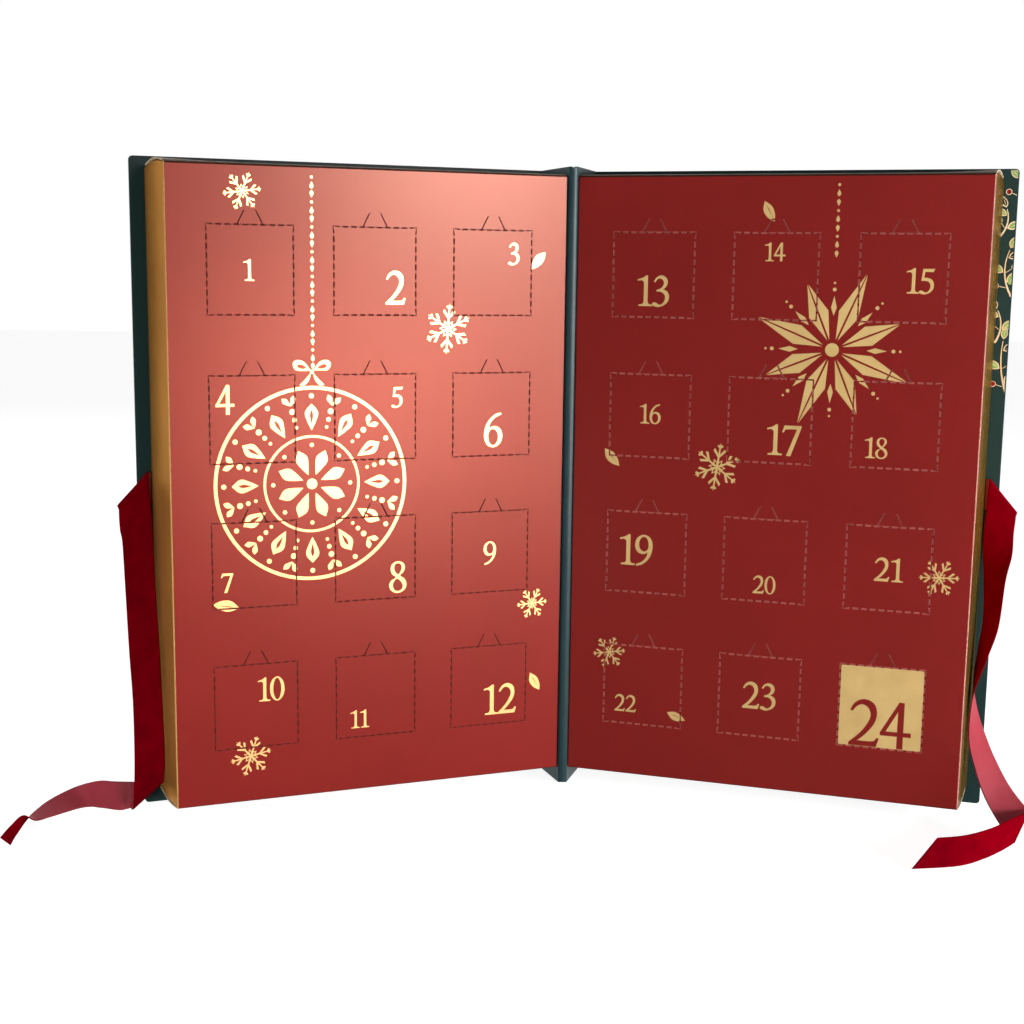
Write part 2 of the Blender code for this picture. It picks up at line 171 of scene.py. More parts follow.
class Bench:
    """The hand moves that the pieces are modelled with."""

    @staticmethod
    def pick(*objects: bpy.types.Object) -> None:
        """Selects these objects only and makes the first one active.

        Args:
            objects: What is selected, or nothing.
        """
        for other in list(bpy.context.selected_objects):
            other.select_set(False)
        for chosen in objects:
            chosen.select_set(True)
        bpy.context.view_layer.objects.active = objects[0] if objects else None

    @staticmethod
    def settle(piece: bpy.types.Object, matrix: Matrix) -> bpy.types.Object:
        """Puts a piece at a place and applies it, so that its object stays at the origin.

        Args:
            piece: The piece.
            matrix: Its place.

        Returns:
            The same piece.
        """
        piece.matrix_world = matrix
        Bench.pick(piece)
        bpy.ops.object.transform_apply(location=True, rotation=True, scale=True)
        return piece

    @staticmethod
    def grid(
        name: str, across: int, along: int, place: Callable[[float, float], Vector]
    ) -> bpy.types.Object:
        """A grid primitive whose points are moved one by one to the places that a function gives.

        Args:
            name: The piece's name.
            across: Steps in the first direction.
            along: Steps in the second direction.
            place: Gives the place for two shares from 0 to 1.

        Returns:
            The new piece.
        """
        Bench.pick()
        bpy.ops.mesh.primitive_grid_add(x_subdivisions=across, y_subdivisions=along, size=2)
        piece = bpy.context.active_object
        piece.name = piece.data.name = name
        for vertex in piece.data.vertices:
            vertex.co = place((vertex.co.x + 1) / 2, (vertex.co.y + 1) / 2)
        return piece

    @staticmethod
    def flat(name: str, outlines: Iterable[Outline], thickness: float = 0.0) -> bpy.types.Object:
        """A flat filled shape drawn as a closed curve in its x-y plane, with holes where outlines nest.

        Args:
            name: The piece's name.
            outlines: Closed outlines in metres.
            thickness: How thick the shape is, half to each side of its plane.

        Returns:
            The shape as a mesh.
        """
        drawn = bpy.data.curves.new(name, "CURVE")
        drawn.dimensions = "2D"
        drawn.fill_mode = "BOTH" if thickness else "FRONT"
        drawn.extrude = thickness / 2
        for outline in outlines:
            spline = drawn.splines.new("POLY")
            spline.points.add(len(outline) - 1)
            for corner, (x, y) in zip(spline.points, outline):
                corner.co = (x, y, 0, 1)
            spline.use_cyclic_u = True
        piece = bpy.data.objects.new(name, drawn)
        bpy.context.scene.collection.objects.link(piece)
        Bench.pick(piece)
        bpy.ops.object.convert(target="MESH")
        piece = bpy.context.active_object
        piece.name = piece.data.name = name
        return Bench.merge(piece) if thickness else piece

    @staticmethod
    def merge(piece: bpy.types.Object) -> bpy.types.Object:
        """Merges doubled points and turns all faces outwards.

        Args:
            piece: The piece.

        Returns:
            The same piece.
        """
        Bench.pick(piece)
        bpy.ops.object.mode_set(mode="EDIT")
        bpy.ops.mesh.select_all(action="SELECT")
        bpy.ops.mesh.remove_doubles(threshold=MERGE_DISTANCE)
        bpy.ops.mesh.normals_make_consistent(inside=False)
        bpy.ops.object.mode_set(mode="OBJECT")
        return piece

    @staticmethod
    def flip(piece: bpy.types.Object) -> None:
        """Turns all of a piece's faces over.

        Args:
            piece: The piece.
        """
        Bench.pick(piece)
        bpy.ops.object.mode_set(mode="EDIT")
        bpy.ops.mesh.select_all(action="SELECT")
        bpy.ops.mesh.flip_normals()
        bpy.ops.object.mode_set(mode="OBJECT")

    @staticmethod
    def smooth(piece: bpy.types.Object, degrees: float) -> None:
        """Shades a piece smooth wherever its faces meet at less than an angle."""
        Bench.pick(piece)
        bpy.ops.object.shade_smooth_by_angle(angle=math.radians(degrees))

    @staticmethod
    def open_faces(piece: bpy.types.Object, test: Callable[[bpy.types.MeshPolygon], bool]) -> int:
        """Opens a piece in edit mode with only the faces selected that pass a test.

        Args:
            piece: The piece.
            test: Says whether a face is wanted.

        Returns:
            How many faces are selected.
        """
        Bench.pick(piece)
        bpy.ops.object.mode_set(mode="EDIT")
        bpy.ops.mesh.select_mode(type="FACE")
        bpy.ops.mesh.select_all(action="DESELECT")
        bpy.ops.object.mode_set(mode="OBJECT")
        chosen = [face for face in piece.data.polygons if test(face)]
        for face in chosen:
            face.select = True
        bpy.ops.object.mode_set(mode="EDIT")
        return len(chosen)

    @staticmethod
    def cut(piece: bpy.types.Object, spot: Vector, out: Vector, near: Callable[[Vector], bool]) -> None:
        """Cuts a flat piece's faces along a straight line, as the bisect tool does, where it passes near.

        Args:
            piece: The flat piece.
            spot: A point of the line in the piece's x-y plane.
            out: The line's normal there.
            near: Says whether a point is near enough for its face to be cut.
        """
        spots = [vertex.co.xy for vertex in piece.data.vertices]
        sides = [(place - spot).dot(out) for place in spots]
        close = [near(place) for place in spots]

        def crossed(face: bpy.types.MeshPolygon) -> bool:
            """Whether a face crosses the line near the place.

            Args:
                face: The face.

            Returns:
                Whether it has to be cut.
            """
            ways = [sides[v] for v in face.vertices]
            over = min(ways) < -CUT_TOLERANCE and max(ways) > CUT_TOLERANCE
            return over and any(close[v] for v in face.vertices)

        if not any(crossed(face) for face in piece.data.polygons):
            return
        Bench.open_faces(piece, crossed)
        bpy.ops.mesh.bisect(plane_co=(*spot, 0), plane_no=(*out, 0), threshold=CUT_TOLERANCE)
        bpy.ops.object.mode_set(mode="OBJECT")

    @staticmethod
    def trim(piece: bpy.types.Object, low: Point, high: Point) -> bpy.types.Object:
        """Cuts a flat piece off at the sides of a rectangle.

        Args:
            piece: The flat piece.
            low: The rectangle's lower left corner.
            high: Its upper right corner.

        Returns:
            The same piece.
        """
        for corner, out in ((low, (-1, 0)), (low, (0, -1)), (high, (1, 0)), (high, (0, 1))):
            Bench.open_faces(piece, lambda face: True)
            bpy.ops.mesh.bisect(
                plane_co=(*corner, 0), plane_no=(*out, 0), clear_outer=True, threshold=CUT_TOLERANCE
            )
            bpy.ops.object.mode_set(mode="OBJECT")
        return piece

    @staticmethod
    def finish(piece: bpy.types.Object, kind: str, **settings: object) -> None:
        """Adds a modifier with these settings and applies it.

        Args:
            piece: The piece.
            kind: The modifier's type.
            settings: The modifier's own properties.
        """
        Bench.pick(piece)
        modifier = piece.modifiers.new(kind.lower(), kind)
        for name, value in settings.items():
            setattr(modifier, name, value)
        bpy.ops.object.modifier_apply(modifier=modifier.name)

    @staticmethod
    def join(name: str, pieces: Sequence[bpy.types.Object]) -> bpy.types.Object:
        """Joins pieces into one, which keeps each one's materials.

        Args:
            name: The whole's name.
            pieces: The pieces, at least one.

        Returns:
            The whole.
        """
        Bench.pick(*pieces)
        if len(pieces) > 1:
            bpy.ops.object.join()
        whole = bpy.context.active_object
        whole.name = whole.data.name = name
        return whole

    @staticmethod
    def paint(piece: bpy.types.Object, *finishes: Finish) -> None:
        """Gives a piece its finishes. This comes before a SOLIDIFY that puts its inside on a later slot.

        Args:
            piece: The piece.
            finishes: Its finishes, in the order of its material slots.
        """
        piece.data.materials.clear()
        for finish in finishes:
            piece.data.materials.append(finish.material())

    @staticmethod
    def paint_faces(
        piece: bpy.types.Object, index: int, test: Callable[[bpy.types.MeshPolygon], bool]
    ) -> None:
        """Moves the faces that pass a test to another material slot."""
        for face in piece.data.polygons:
            if test(face):
                face.material_index = index


def linear(hex_colour: str) -> tuple[float, float, float, float]:
    """Turns an sRGB hex colour into the linear one that a node takes."""
    shares = [int(hex_colour[start : start + 2], 16) / 255 for start in (1, 3, 5)]
    return (*[c / 12.92 if c <= 0.04045 else ((c + 0.055) / 1.055) ** 2.4 for c in shares], 1.0)


def add_node(
    tree: bpy.types.NodeTree,
    kind: str,
    values: dict[str | int, object] | None = None,
    links: dict[str | int, bpy.types.NodeSocket] | None = None,
    **settings: object,
) -> bpy.types.Node:
    """Adds a node with its settings, the values on its own sockets, and its links.

    Args:
        tree: The node tree.
        kind: The node's type.
        values: Numbers or colours for inputs.
        links: Outputs to link to inputs.
        settings: The node's own properties.

    Returns:
        The new node.
    """
    node = tree.nodes.new(kind)
    for name, value in settings.items():
        setattr(node, name, value)
    for name, value in (values or {}).items():
        node.inputs[name].default_value = value
    for name, source in (links or {}).items():
        tree.links.new(source, node.inputs[name])
    return node


class Grain(Enum):
    """How the fine surface of a finish is made."""

    PAPER = "fibres"
    BRUSHED = "streaks"
    WOVEN = "threads"
    PILE = "pile"


@dataclass(frozen=True)
class Finish:
    """A material: what it is, its colours, its shine, and the real size of its grain.

    The second colour is what the first one drifts to over patch metres. Where the grain is too fine
    to show at the photograph's scale, it is drawn as coarse as it needs to be.
    """

    name: str
    colour: str
    drift: str
    roughness: float
    grain: Grain = Grain.PAPER
    grain_size: float = 0.0006
    bump: float = 0.1
    patch: float = 0.03
    metallic: float = 0.0
    specular: float = 0.5
    specular_tint: str = WHITE
    sheen: float = 0.0
    sheen_tint: str = WHITE
    roughness_drift: float = 0.08

    def material(self) -> bpy.types.Material:
        """The material, made once and then shared."""
        made = bpy.data.materials.get(self.name)
        return made or self._make()

    def _make(self) -> bpy.types.Material:
        """Builds the node tree on object coordinates, or on the ribbon's own lengthwise map.

        Returns:
            The new material.
        """
        made = bpy.data.materials.new(self.name)
        made.use_nodes = True
        made.diffuse_color = linear(self.colour)
        tree = made.node_tree
        tree.nodes.clear()
        place = add_node(tree, "ShaderNodeTexCoord")
        ribbon = self.grain in (Grain.WOVEN, Grain.PILE)
        source = place.outputs["UV" if ribbon else "Object"]
        stretch = {
            Grain.PAPER: (1.0, 1.0, 1.0),
            Grain.BRUSHED: (1.0, 1.0, 0.04),
            Grain.WOVEN: (0.12, 1.0, 1.0),
            Grain.PILE: (1.0, 1.0, 1.0),
        }[self.grain]
        laid = add_node(tree, "ShaderNodeMapping", {"Scale": stretch}, {"Vector": source})
        patches = add_node(
            tree,
            "ShaderNodeTexNoise",
            {"Scale": 1 / self.patch, "Detail": 4.0, "Roughness": 0.6},
            {"Vector": source},
        )
        grain = add_node(
            tree,
            "ShaderNodeTexNoise",
            {"Scale": 1 / self.grain_size, "Detail": 3.0, "Roughness": 0.65},
            {"Vector": laid.outputs["Vector"]},
        )
        spread = add_node(
            tree,
            "ShaderNodeMapRange",
            {"From Min": 0.3, "From Max": 0.7},
            {"Value": patches.outputs["Fac"]},
        )
        colour = add_node(
            tree,
            "ShaderNodeMix",
            {6: linear(self.colour), 7: linear(self.drift)},
            {0: spread.outputs["Result"]},
            data_type="RGBA",
        )
        shine = add_node(
            tree,
            "ShaderNodeMapRange",
            {
                "From Min": 0.25,
                "From Max": 0.75,
                "To Min": self.roughness - self.roughness_drift,
                "To Max": self.roughness + self.roughness_drift,
            },
            {"Value": grain.outputs["Fac"]},
        )
        relief = add_node(
            tree,
            "ShaderNodeBump",
            {"Strength": self.bump, "Distance": self.grain_size * 0.5},
            {"Height": grain.outputs["Fac"]},
        )
        shader = add_node(
            tree,
            "ShaderNodeBsdfPrincipled",
            {
                "Metallic": self.metallic,
                "Specular IOR Level": self.specular,
                "Specular Tint": linear(self.specular_tint),
                "Sheen Weight": self.sheen,
                "Sheen Tint": linear(self.sheen_tint),
                "Sheen Roughness": 0.35,
            },
            {
                "Base Color": colour.outputs[2],
                "Roughness": shine.outputs["Result"],
                "Normal": relief.outputs["Normal"],
            },
        )
        add_node(tree, "ShaderNodeOutputMaterial", links={"Surface": shader.outputs["BSDF"]})
        return made


# Offset-printed art card under a pearl film: deep red, with a soft salmon gleam where a light is mirrored.
PEARL_CARD = Finish(
    "pearl_laminated_art_card_red", "#821818", "#7B1616", 0.3, grain_size=0.0007, bump=0.04,
    patch=0.05, specular=0.24, specular_tint="#FFC6AE", roughness_drift=0.02,
)
# Metallised board folded into the carton's walls: a brown-gold blurred mirror with fine rolling streaks,
# painted lighter here as painted light for the left half.
GOLD_WALL_LIT = Finish(
    "metallised_board_gold", "#BC8648", "#A6743A", 0.31, Grain.BRUSHED, 0.0009, 0.06, 0.04, metallic=0.75,
    specular=0.1, specular_tint="#D0AC70", roughness_drift=0.05,
)
# The same board painted darker and cooler, as painted shade, for the right half: a smoother gold that mirrors
# the green cover beside it.
GOLD_WALL_SHADED = Finish(
    "metallised_board_gold_lacquered", "#7E642A", "#6E5624", 0.27, Grain.BRUSHED, 0.0009, 0.03, 0.04,
    metallic=0.8, specular=0.1, specular_tint="#D0AC70", roughness_drift=0.04,
)
# Hot-stamped foil: bright pale gold with a faint orange peel.
STAMPED_FOIL = Finish(
    "hot_stamped_foil_gold", "#C4A76E", "#B69A62", 0.36, grain_size=0.0008, bump=0.05, patch=0.02,
    metallic=0.55, specular=0.2, roughness_drift=0.05,
)
# Grey-white unprinted side of the folding boxboard, with short visible fibres.
RAW_BOARD = Finish(
    "uncoated_boxboard", "#AFA086", "#A5967C", 0.85, grain_size=0.0005, bump=0.3, patch=0.01, specular=0.1
)
# The same board where the end flaps are turned back: painted darker and greyer, as painted shade, and rubbed
# smooth.
SHADED_FLAP_BOARD = Finish(
    "uncoated_boxboard_rubbed", "#8A7D70", "#7A6D60", 0.7, grain_size=0.0006, bump=0.2, patch=0.012,
    specular=0.1,
)
# Cut card edge along the perforations, dull dark red-brown: partly the card's own cut fibres and partly
# painted shade, for the left half.
CUT_EDGE_SHADED = Finish(
    "perforated_card_edge_crushed", "#7C342C", "#682A23", 0.85, grain_size=0.0004, bump=0.3,
    patch=0.002, specular=0.02,
)
# The same cut edge painted paler, dusty pink, as painted light, for the right half.
CUT_EDGE_LIT = Finish(
    "perforated_card_edge_torn", "#C8746C", "#B05C54", 0.85, grain_size=0.0004, bump=0.3,
    patch=0.002, specular=0.02,
)
# Film folded hard over at the carton's top, painted as a dark brown line of fold shade.
TOP_FOLD_SHADE = Finish(
    "creased_film_brown", "#55281C", "#3E2219", 0.7, grain_size=0.0005, bump=0.3, patch=0.004,
    specular=0.03,
)
# The same painted fold shade at the foot, lighter: dull red-brown.
FOOT_FOLD_SHADE = Finish(
    "creased_film_rubbed", "#7A332A", "#5E241D", 0.7, grain_size=0.0005, bump=0.3, patch=0.004,
    specular=0.03,
)
# Painted highlight along the rounded fore-edge fold, bright gold for the left half.
GOLD_FOLD_HIGHLIGHT = Finish(
    "creased_card_fold_gold", "#D2A464", "#BA8E52", 0.5, grain_size=0.0005, bump=0.4, patch=0.0015,
    specular=0.05,
)
# The same painted highlight along the fore-edge fold, pink for the right half.
PINK_FOLD_HIGHLIGHT = Finish(
    "creased_card_fold_pale", "#C58A82", "#A2645C", 0.6, grain_size=0.0005, bump=0.5, patch=0.001,
    specular=0.05,
)
# Dyed paper over greyboard: very dark blue-green with a low satin shine and a fine felt mark.
COVERING_PAPER = Finish(
    "dyed_covering_paper_green", "#1A3232", "#1F3636", 0.5, grain_size=0.0008, bump=0.12, patch=0.04,
    specular=0.05,
)
# Lining paper over the spine's fold, rubbed to a shine along the ridge.
LINING_PAPER = Finish(
    "glazed_lining_paper_green", "#1B3438", "#213C40", 0.36, grain_size=0.0009, bump=0.1, patch=0.01,
    specular=0.12,
)
# Printed leaf on the covering paper: yellow-green that deepens to fresh green.
LEAF_INK = Finish(
    "litho_ink_leaf_green", "#9DBE74", "#5E9440", 0.45, grain_size=0.0006, bump=0.08, patch=0.006,
    specular=0.1,
)
# Metallic ink that outlines the printed twigs: pale cream gold.
LINE_INK = Finish(
    "metallic_ink_pale_gold", "#E6D8BE", "#D2B88E", 0.4, grain_size=0.0006, bump=0.05, patch=0.02,
    metallic=0.1, specular=0.1,
)
# Printed berry: strong red with a darker side.
BERRY_INK = Finish(
    "litho_ink_berry_red", "#8E1B25", "#6E121A", 0.4, grain_size=0.0006, bump=0.08, patch=0.003,
    specular=0.1,
)
# Dense cut pile of a velvet ribbon: deep crimson that lightens where it is seen along the pile.
VELVET = Finish(
    "rayon_velvet_crimson", "#7C000F", "#66000C", 0.85, Grain.PILE, 0.0005, 0.35, 0.012, specular=0.0,
    sheen=0.22, sheen_tint="#C80838",
)
# Satin back of the velvet ribbon: dusty red with fine threads across.
SATIN = Finish(
    "satin_ribbon_back_rose", "#8E303A", "#9A3A44", 0.5, Grain.WOVEN, 0.0004, 0.25, 0.02, specular=0.03,
    sheen=0.04, sheen_tint="#FFB0BC",
)
# Woven edge of the ribbon, free of pile: a fine speckled lighter line.
SELVEDGE = Finish(
    "woven_selvedge_crimson", "#B83C54", "#8C1830", 0.5, Grain.WOVEN, 0.0004, 0.3, 0.0012,
    specular=0.1, sheen=0.3,
)


def smooth_outline(knots: Sequence[tuple], steps: int = 6) -> Outline:
    """Draws a closed outline through given knots.

    Args:
        knots: (x, y) for a smooth knot and (x, y, 1) for a sharp corner.
        steps: Points between two knots where the line curves.

    Returns:
        The outline's points.
    """
    count = len(knots)
    spots = [Vector(knot[:2]) for knot in knots]
    sharp = [len(knot) > 2 for knot in knots]
    outline: Outline = []
    for k in range(count):
        start, end = spots[k], spots[(k + 1) % count]
        if sharp[k] and sharp[(k + 1) % count]:
            outline.append(tuple(start))
            continue
        before, after = spots[k - 1], spots[(k + 2) % count]
        reach = (end - start).length
        straight = end - start
        ahead = straight if sharp[k] else (end - before).normalized() * reach
        behind = straight if sharp[(k + 1) % count] else (after - start).normalized() * reach
        for step in range(steps):
            t = step / steps
            blend = t * t * (3 - 2 * t)
            spot = start.lerp(end, blend) + ahead * t * (1 - t) ** 2 - behind * t * t * (1 - t)
            outline.append(tuple(spot))
    return outline


# Knots of the ten figures on a height of 100, drawn as plain old-face numerals.
FIGURES: dict[str, tuple[tuple[tuple, ...], ...]] = {
    "0": (
        ((31, 101.5), (52, 84), (59, 50), (52, 16), (31, -1.5), (10, 16), (3, 50), (10, 84)),
        ((31, 97), (43, 81), (47.5, 50), (43, 19), (31, 3), (19, 19), (14.5, 50), (19, 81)),
    ),
    "1": (
        ((10, 0, 1), (53, 0, 1), (53, 4, 1), (42, 6), (37.5, 14, 1), (37.5, 101, 1), (33, 101, 1), (22, 93),
         (6, 88, 1), (6, 84, 1), (20, 85.5), (26.5, 78, 1), (26.5, 14, 1), (22, 6), (10, 4, 1)),
    ),
    "2": (
        ((4, 0, 1), (57, 0, 1), (62, 19, 1), (58, 19, 1), (53, 12), (43, 10, 1), (20, 10, 1), (38, 30),
         (52, 52), (56, 73), (50, 93), (32, 101.5), (15, 94), (5, 77, 1), (9, 75, 1), (17, 86), (28, 91),
         (40, 84), (45, 68), (39, 49), (25, 27), (4, 5, 1)),
    ),
    "3": (
        ((8, 82, 1), (17, 95), (31, 101.5), (46, 94), (51, 79), (46, 65), (36, 56, 1), (50, 48), (56, 31),
         (49, 11), (27, -2), (12, -0.5), (4, 5), (7, 11), (15, 10.5), (27, 4), (39, 11), (45, 28),
         (39, 43), (27, 49), (17, 49, 1), (17, 53, 1), (32, 60), (40, 75), (36, 88), (26, 92.5),
         (17, 88), (11.5, 79, 1)),
    ),
    "4": (
        ((37, 101, 1), (46, 101, 1), (46, 36, 1), (61, 36, 1), (61, 27, 1), (46, 27, 1), (46, 0, 1),
         (35, 0, 1), (35, 27, 1), (2, 27, 1), (2, 32, 1)),
        ((35, 36, 1), (12, 36, 1), (35, 81, 1)),
    ),
    "5": (
        ((16, 98, 1), (54, 98, 1), (58, 101, 1), (53, 87, 1), (23, 87, 1), (19, 62, 1), (31, 62.5), (48, 55),
         (56, 35), (49, 11), (27, -2), (12, -0.5), (4, 5), (7, 11), (15, 10.5), (28, 4), (40, 12), (45, 31),
         (38, 47), (24, 52), (11, 51, 1)),
    ),
    "6": (
        ((53, 102, 1), (33, 94), (13, 70), (5, 36), (12, 9), (31, -1.5), (51, 9), (58, 32), (52, 53),
         (38, 61), (26, 59), (18, 53, 1), (22, 70), (35, 87), (55, 97.5, 1)),
        ((31.5, 3.5), (43, 12), (47, 29), (43, 46), (31, 54), (20, 48), (16, 33), (20, 12)),
    ),
    "7": (
        ((9, 98, 1), (60, 98, 1), (60, 94, 1), (29, -2, 1), (17, -2, 1), (48, 87, 1), (19, 87, 1), (11, 85),
         (6, 76, 1), (2, 76, 1)),
    ),
    "8": (
        ((31, 101.5), (47, 95), (52, 80), (46, 65), (37, 55), (50, 44), (57, 25), (50, 7), (30, -2), (11, 6),
         (4, 23), (10, 39), (24, 49), (13, 61), (8.5, 77), (14, 94)),
        ((31, 97), (41, 91), (43, 79), (39, 67), (32, 58.5), (22, 67), (18, 80), (22, 93)),
        ((31, 3), (43, 9), (47, 21), (41, 35), (28, 45.5), (18, 37), (14, 23), (19, 8)),
    ),
}
# How far each figure moves the next one on. The nine is the six turned round.
FIGURE_ADVANCE = {"0": 62, "1": 50, "2": 62, "3": 60, "4": 64, "5": 60, "6": 62, "7": 60, "8": 62, "9": 62}
FIGURES["9"] = tuple(
    tuple((FIGURE_ADVANCE["6"] - knot[0], 100 - knot[1], *knot[2:]) for knot in outline)
    for outline in FIGURES["6"]
)


def bolder(outline: Outline, by: float, hole: bool) -> Outline:
    """Moves an outline's points outwards, or a hole's inwards, so that a figure gets heavier.

    Args:
        outline: The closed outline.
        by: How far its points move.
        hole: Whether it bounds a hole.

    Returns:
        The moved outline.
    """
    area = sum(x * v - u * y for (x, y), (u, v) in zip(outline, outline[1:] + outline[:1]))
    way = by * (1 if area > 0 else -1) * (-1 if hole else 1)
    moved = []
    for k, (x, y) in enumerate(outline):
        before, after = Vector(outline[k - 1]), Vector(outline[(k + 1) % len(outline)])
        along = (after - before).normalized()
        moved.append((x + along.y * way, y - along.x * way))
    return moved


def circle(x: float, y: float, radius: float, steps: int = 14) -> Outline:
    """A round outline."""
    return [
        (x + radius * math.cos(math.tau * k / steps), y + radius * math.sin(math.tau * k / steps))
        for k in range(steps)
    ]


def turned(outline: Outline, angle: float, x: float = 0.0, y: float = 0.0, size: float = 1.0) -> Outline:
    """An outline turned by an angle, scaled and moved."""
    cos, sin = math.cos(angle) * size, math.sin(angle) * size
    return [(x + u * cos - v * sin, y + u * sin + v * cos) for u, v in outline]


def spoke(angle: float, reach: float) -> Point:
    """The place that is this far from the middle in this direction."""
    return reach * math.cos(angle), reach * math.sin(angle)


def sized(outline: Outline, size: float) -> Outline:
    """An outline scaled about the middle."""
    return [(x * size, y * size) for x, y in outline]


def drop(length: float, width: float) -> Outline:
    """A pointed drop along x, round towards its far end."""
    knots = ((0, 0, 1), (0.35 * length, 0.34 * width), (0.68 * length, 0.5 * width), (length, 0, 1),
             (0.68 * length, -0.5 * width), (0.35 * length, -0.34 * width))
    return smooth_outline(knots, 4)


@dataclass(frozen=True)
class Motifs:
    """Plain and traditional winter motifs, each drawn round its own origin in millimetres.

    The figures' sizes are in the units of their knots, and the other motifs' knots are shares of a radius
    or a length.
    """

    figure_height: float = 103
    figure_middle: float = 50
    figure_weight: float = 0.7
    figure_stretch: float = 1.07
    bead_radius: float = 0.75
    drop_length: float = 3.6
    drop_width: float = 1.9
    drop_gap: float = 2.3
    bauble_petals: int = 12
    rosette_petals: int = 8
    star_points: int = 8

    def number(self, value: int, height: float) -> list[Outline]:
        """The figures of a number, centred.

        Args:
            value: The number.
            height: The figures' height.

        Returns:
            One outline for each figure, and one for each hole in it.
        """
        figures = str(value)
        width = sum(FIGURE_ADVANCE[figure] for figure in figures)
        scale, start, outlines = height / self.figure_height, -width / 2, []
        wide = self.figure_stretch
        for figure in figures:
            for k, knots in enumerate(FIGURES[figure]):
                outline = bolder(smooth_outline(knots), self.figure_weight, k > 0)
                outlines.append(
                    [((x + start) * scale * wide, (y - self.figure_middle) * scale) for x, y in outline]
                )
            start += FIGURE_ADVANCE[figure]
        return outlines

    def snowflake(self, radius: float, turn: float = 0.0) -> list[Outline]:
        """A six-armed snow crystal: feathered arms on a star hub that is pierced by six kites.

        Args:
            radius: The length of an arm.
            turn: The direction of the first arm, in radians.

        Returns:
            The crystal's outline and its six holes.
        """
        side = [(0.22, 0.04), (0.4, 0.035), (0.66, 0.255), (0.76, 0.205), (0.53, 0.035), (0.77, 0.028),
                (0.86, 0.125), (0.92, 0.085), (0.89, 0.025)]
        arm = [(x, -y) for x, y in side] + [(1.0, 0.0)] + list(reversed(side))
        outline: Outline = []
        for k in range(6):
            angle = turn + k * math.pi / 3
            outline += turned(arm, angle, size=radius)
            outline.append(spoke(angle + math.pi / 6, 0.36 * radius))
        kite = [(0.07, 0.0), (0.18, -0.042), (0.29, 0.0), (0.18, 0.042)]
        return [outline] + [turned(kite, turn + (k + 0.5) * math.pi / 3, size=radius) for k in range(6)]

    def leaf(self, length: float, turn: float) -> list[Outline]:
        """A small pointed leaf with a slit for its midrib.

        Args:
            length: The leaf's length.
            turn: The direction of its tip, in radians.

        Returns:
            The blade and its slit.
        """
        knots = ((-0.5, 0, 1), (-0.2, 0.2), (0.15, 0.24), (0.5, 0.03, 1), (0.15, -0.16), (-0.2, -0.14))
        blade = smooth_outline(knots, 5)
        rib = [(-0.36, 0.0), (0.1, 0.035), (0.34, 0.035), (0.1, 0.0)]
        return [turned(blade, turn, size=length), turned(rib, turn, size=length)]

    def bead_string(self, top: float, foot: float, pitch: float = 12.42) -> list[Outline]:
        """A hanging string of beads: a dot, then a drop that hangs and one that stands, again and again.

        Args:
            top: The height of the first dot.
            foot: The height that no dot hangs below.
            pitch: The distance from dot to dot.

        Returns:
            The beads' outlines.
        """
        outlines, y, bead = [], top, drop(self.drop_length, self.drop_width)
        while y > foot:
            outlines.append(circle(0, y, self.bead_radius, 10))
            outlines.append(turned(bead, -math.pi / 2, 0, y - self.drop_gap))
            outlines.append(turned(bead, math.pi / 2, 0, y - pitch + self.drop_gap))
            y -= pitch
        return outlines

    def bow(self, size: float) -> list[Outline]:
        """A tied bow with two loops and two tails.

        Args:
            size: About half of the bow's width.

        Returns:
            The knot, the loops with their eyes, and the tails.
        """
        loop = smooth_outline(((0.06, 0.05, 1), (0.45, 0.5), (0.9, 0.48), (0.85, 0.1), (0.4, 0.02)), 5)
        eye = smooth_outline(((0.3, 0.16), (0.5, 0.33), (0.72, 0.32), (0.68, 0.17)), 4)
        knots = ((0.05, -0.06, 1), (0.3, -0.35), (0.62, -0.66, 1), (0.42, -0.74, 1), (0.16, -0.45))
        tail = smooth_outline(knots, 4)
        outlines = [circle(0, -0.02, 0.1, 10)]
        for sign in (1, -1):
            outlines += [[(sign * x, y) for x, y in part] for part in (loop, eye, tail)]
        return [sized(outline, size) for outline in outlines]

    def bauble(self, radius: float) -> list[Outline]:
        """A round bauble of plain folk bands: rings of drops, dots and small leaves round a rosette.

        Args:
            radius: The bauble's radius.

        Returns:
            Its outlines, each ring as an outer and an inner one.
        """
        outlines = [circle(0, 0, radius, 72), circle(0, 0, radius * 0.965, 72)]
        outlines += [circle(0, 0, radius * 0.5, 48), circle(0, 0, radius * 0.475, 48)]
        for k in range(self.bauble_petals):
            angle = math.tau * k / self.bauble_petals
            petal = turned(drop(0.27, 0.135), angle, *spoke(angle, 0.55))
            slit = turned(drop(0.15, 0.035), angle, *spoke(angle, 0.61))
            outlines += [sized(part, radius) for part in (petal, slit)]
            between = angle + math.pi / self.bauble_petals
            for share, size in ((0.6, 0.018), (0.68, 0.024), (0.765, 0.03)):
                outlines.append(circle(*spoke(between, share * radius), size * radius, 10))
            for turn in (-0.62, 0.62):
                leaf = turned(drop(0.12, 0.055), between + turn, *spoke(between, 0.825))
                outlines.append(sized(leaf, radius))
            outlines.append(circle(*spoke(angle, 0.9 * radius), 0.026 * radius, 10))
        for k in range(self.rosette_petals):
            angle = math.tau * (k + 0.5) / self.rosette_petals
            petal = turned(drop(0.27, 0.12), angle, *spoke(angle, 0.1))
            outlines.append(sized(petal, radius))
            between = angle + math.pi / self.rosette_petals
            outlines.append(circle(*spoke(between, 0.4 * radius), 0.022 * radius, 8))
        outlines.append(circle(0, 0, 0.055 * radius, 12))
        return outlines

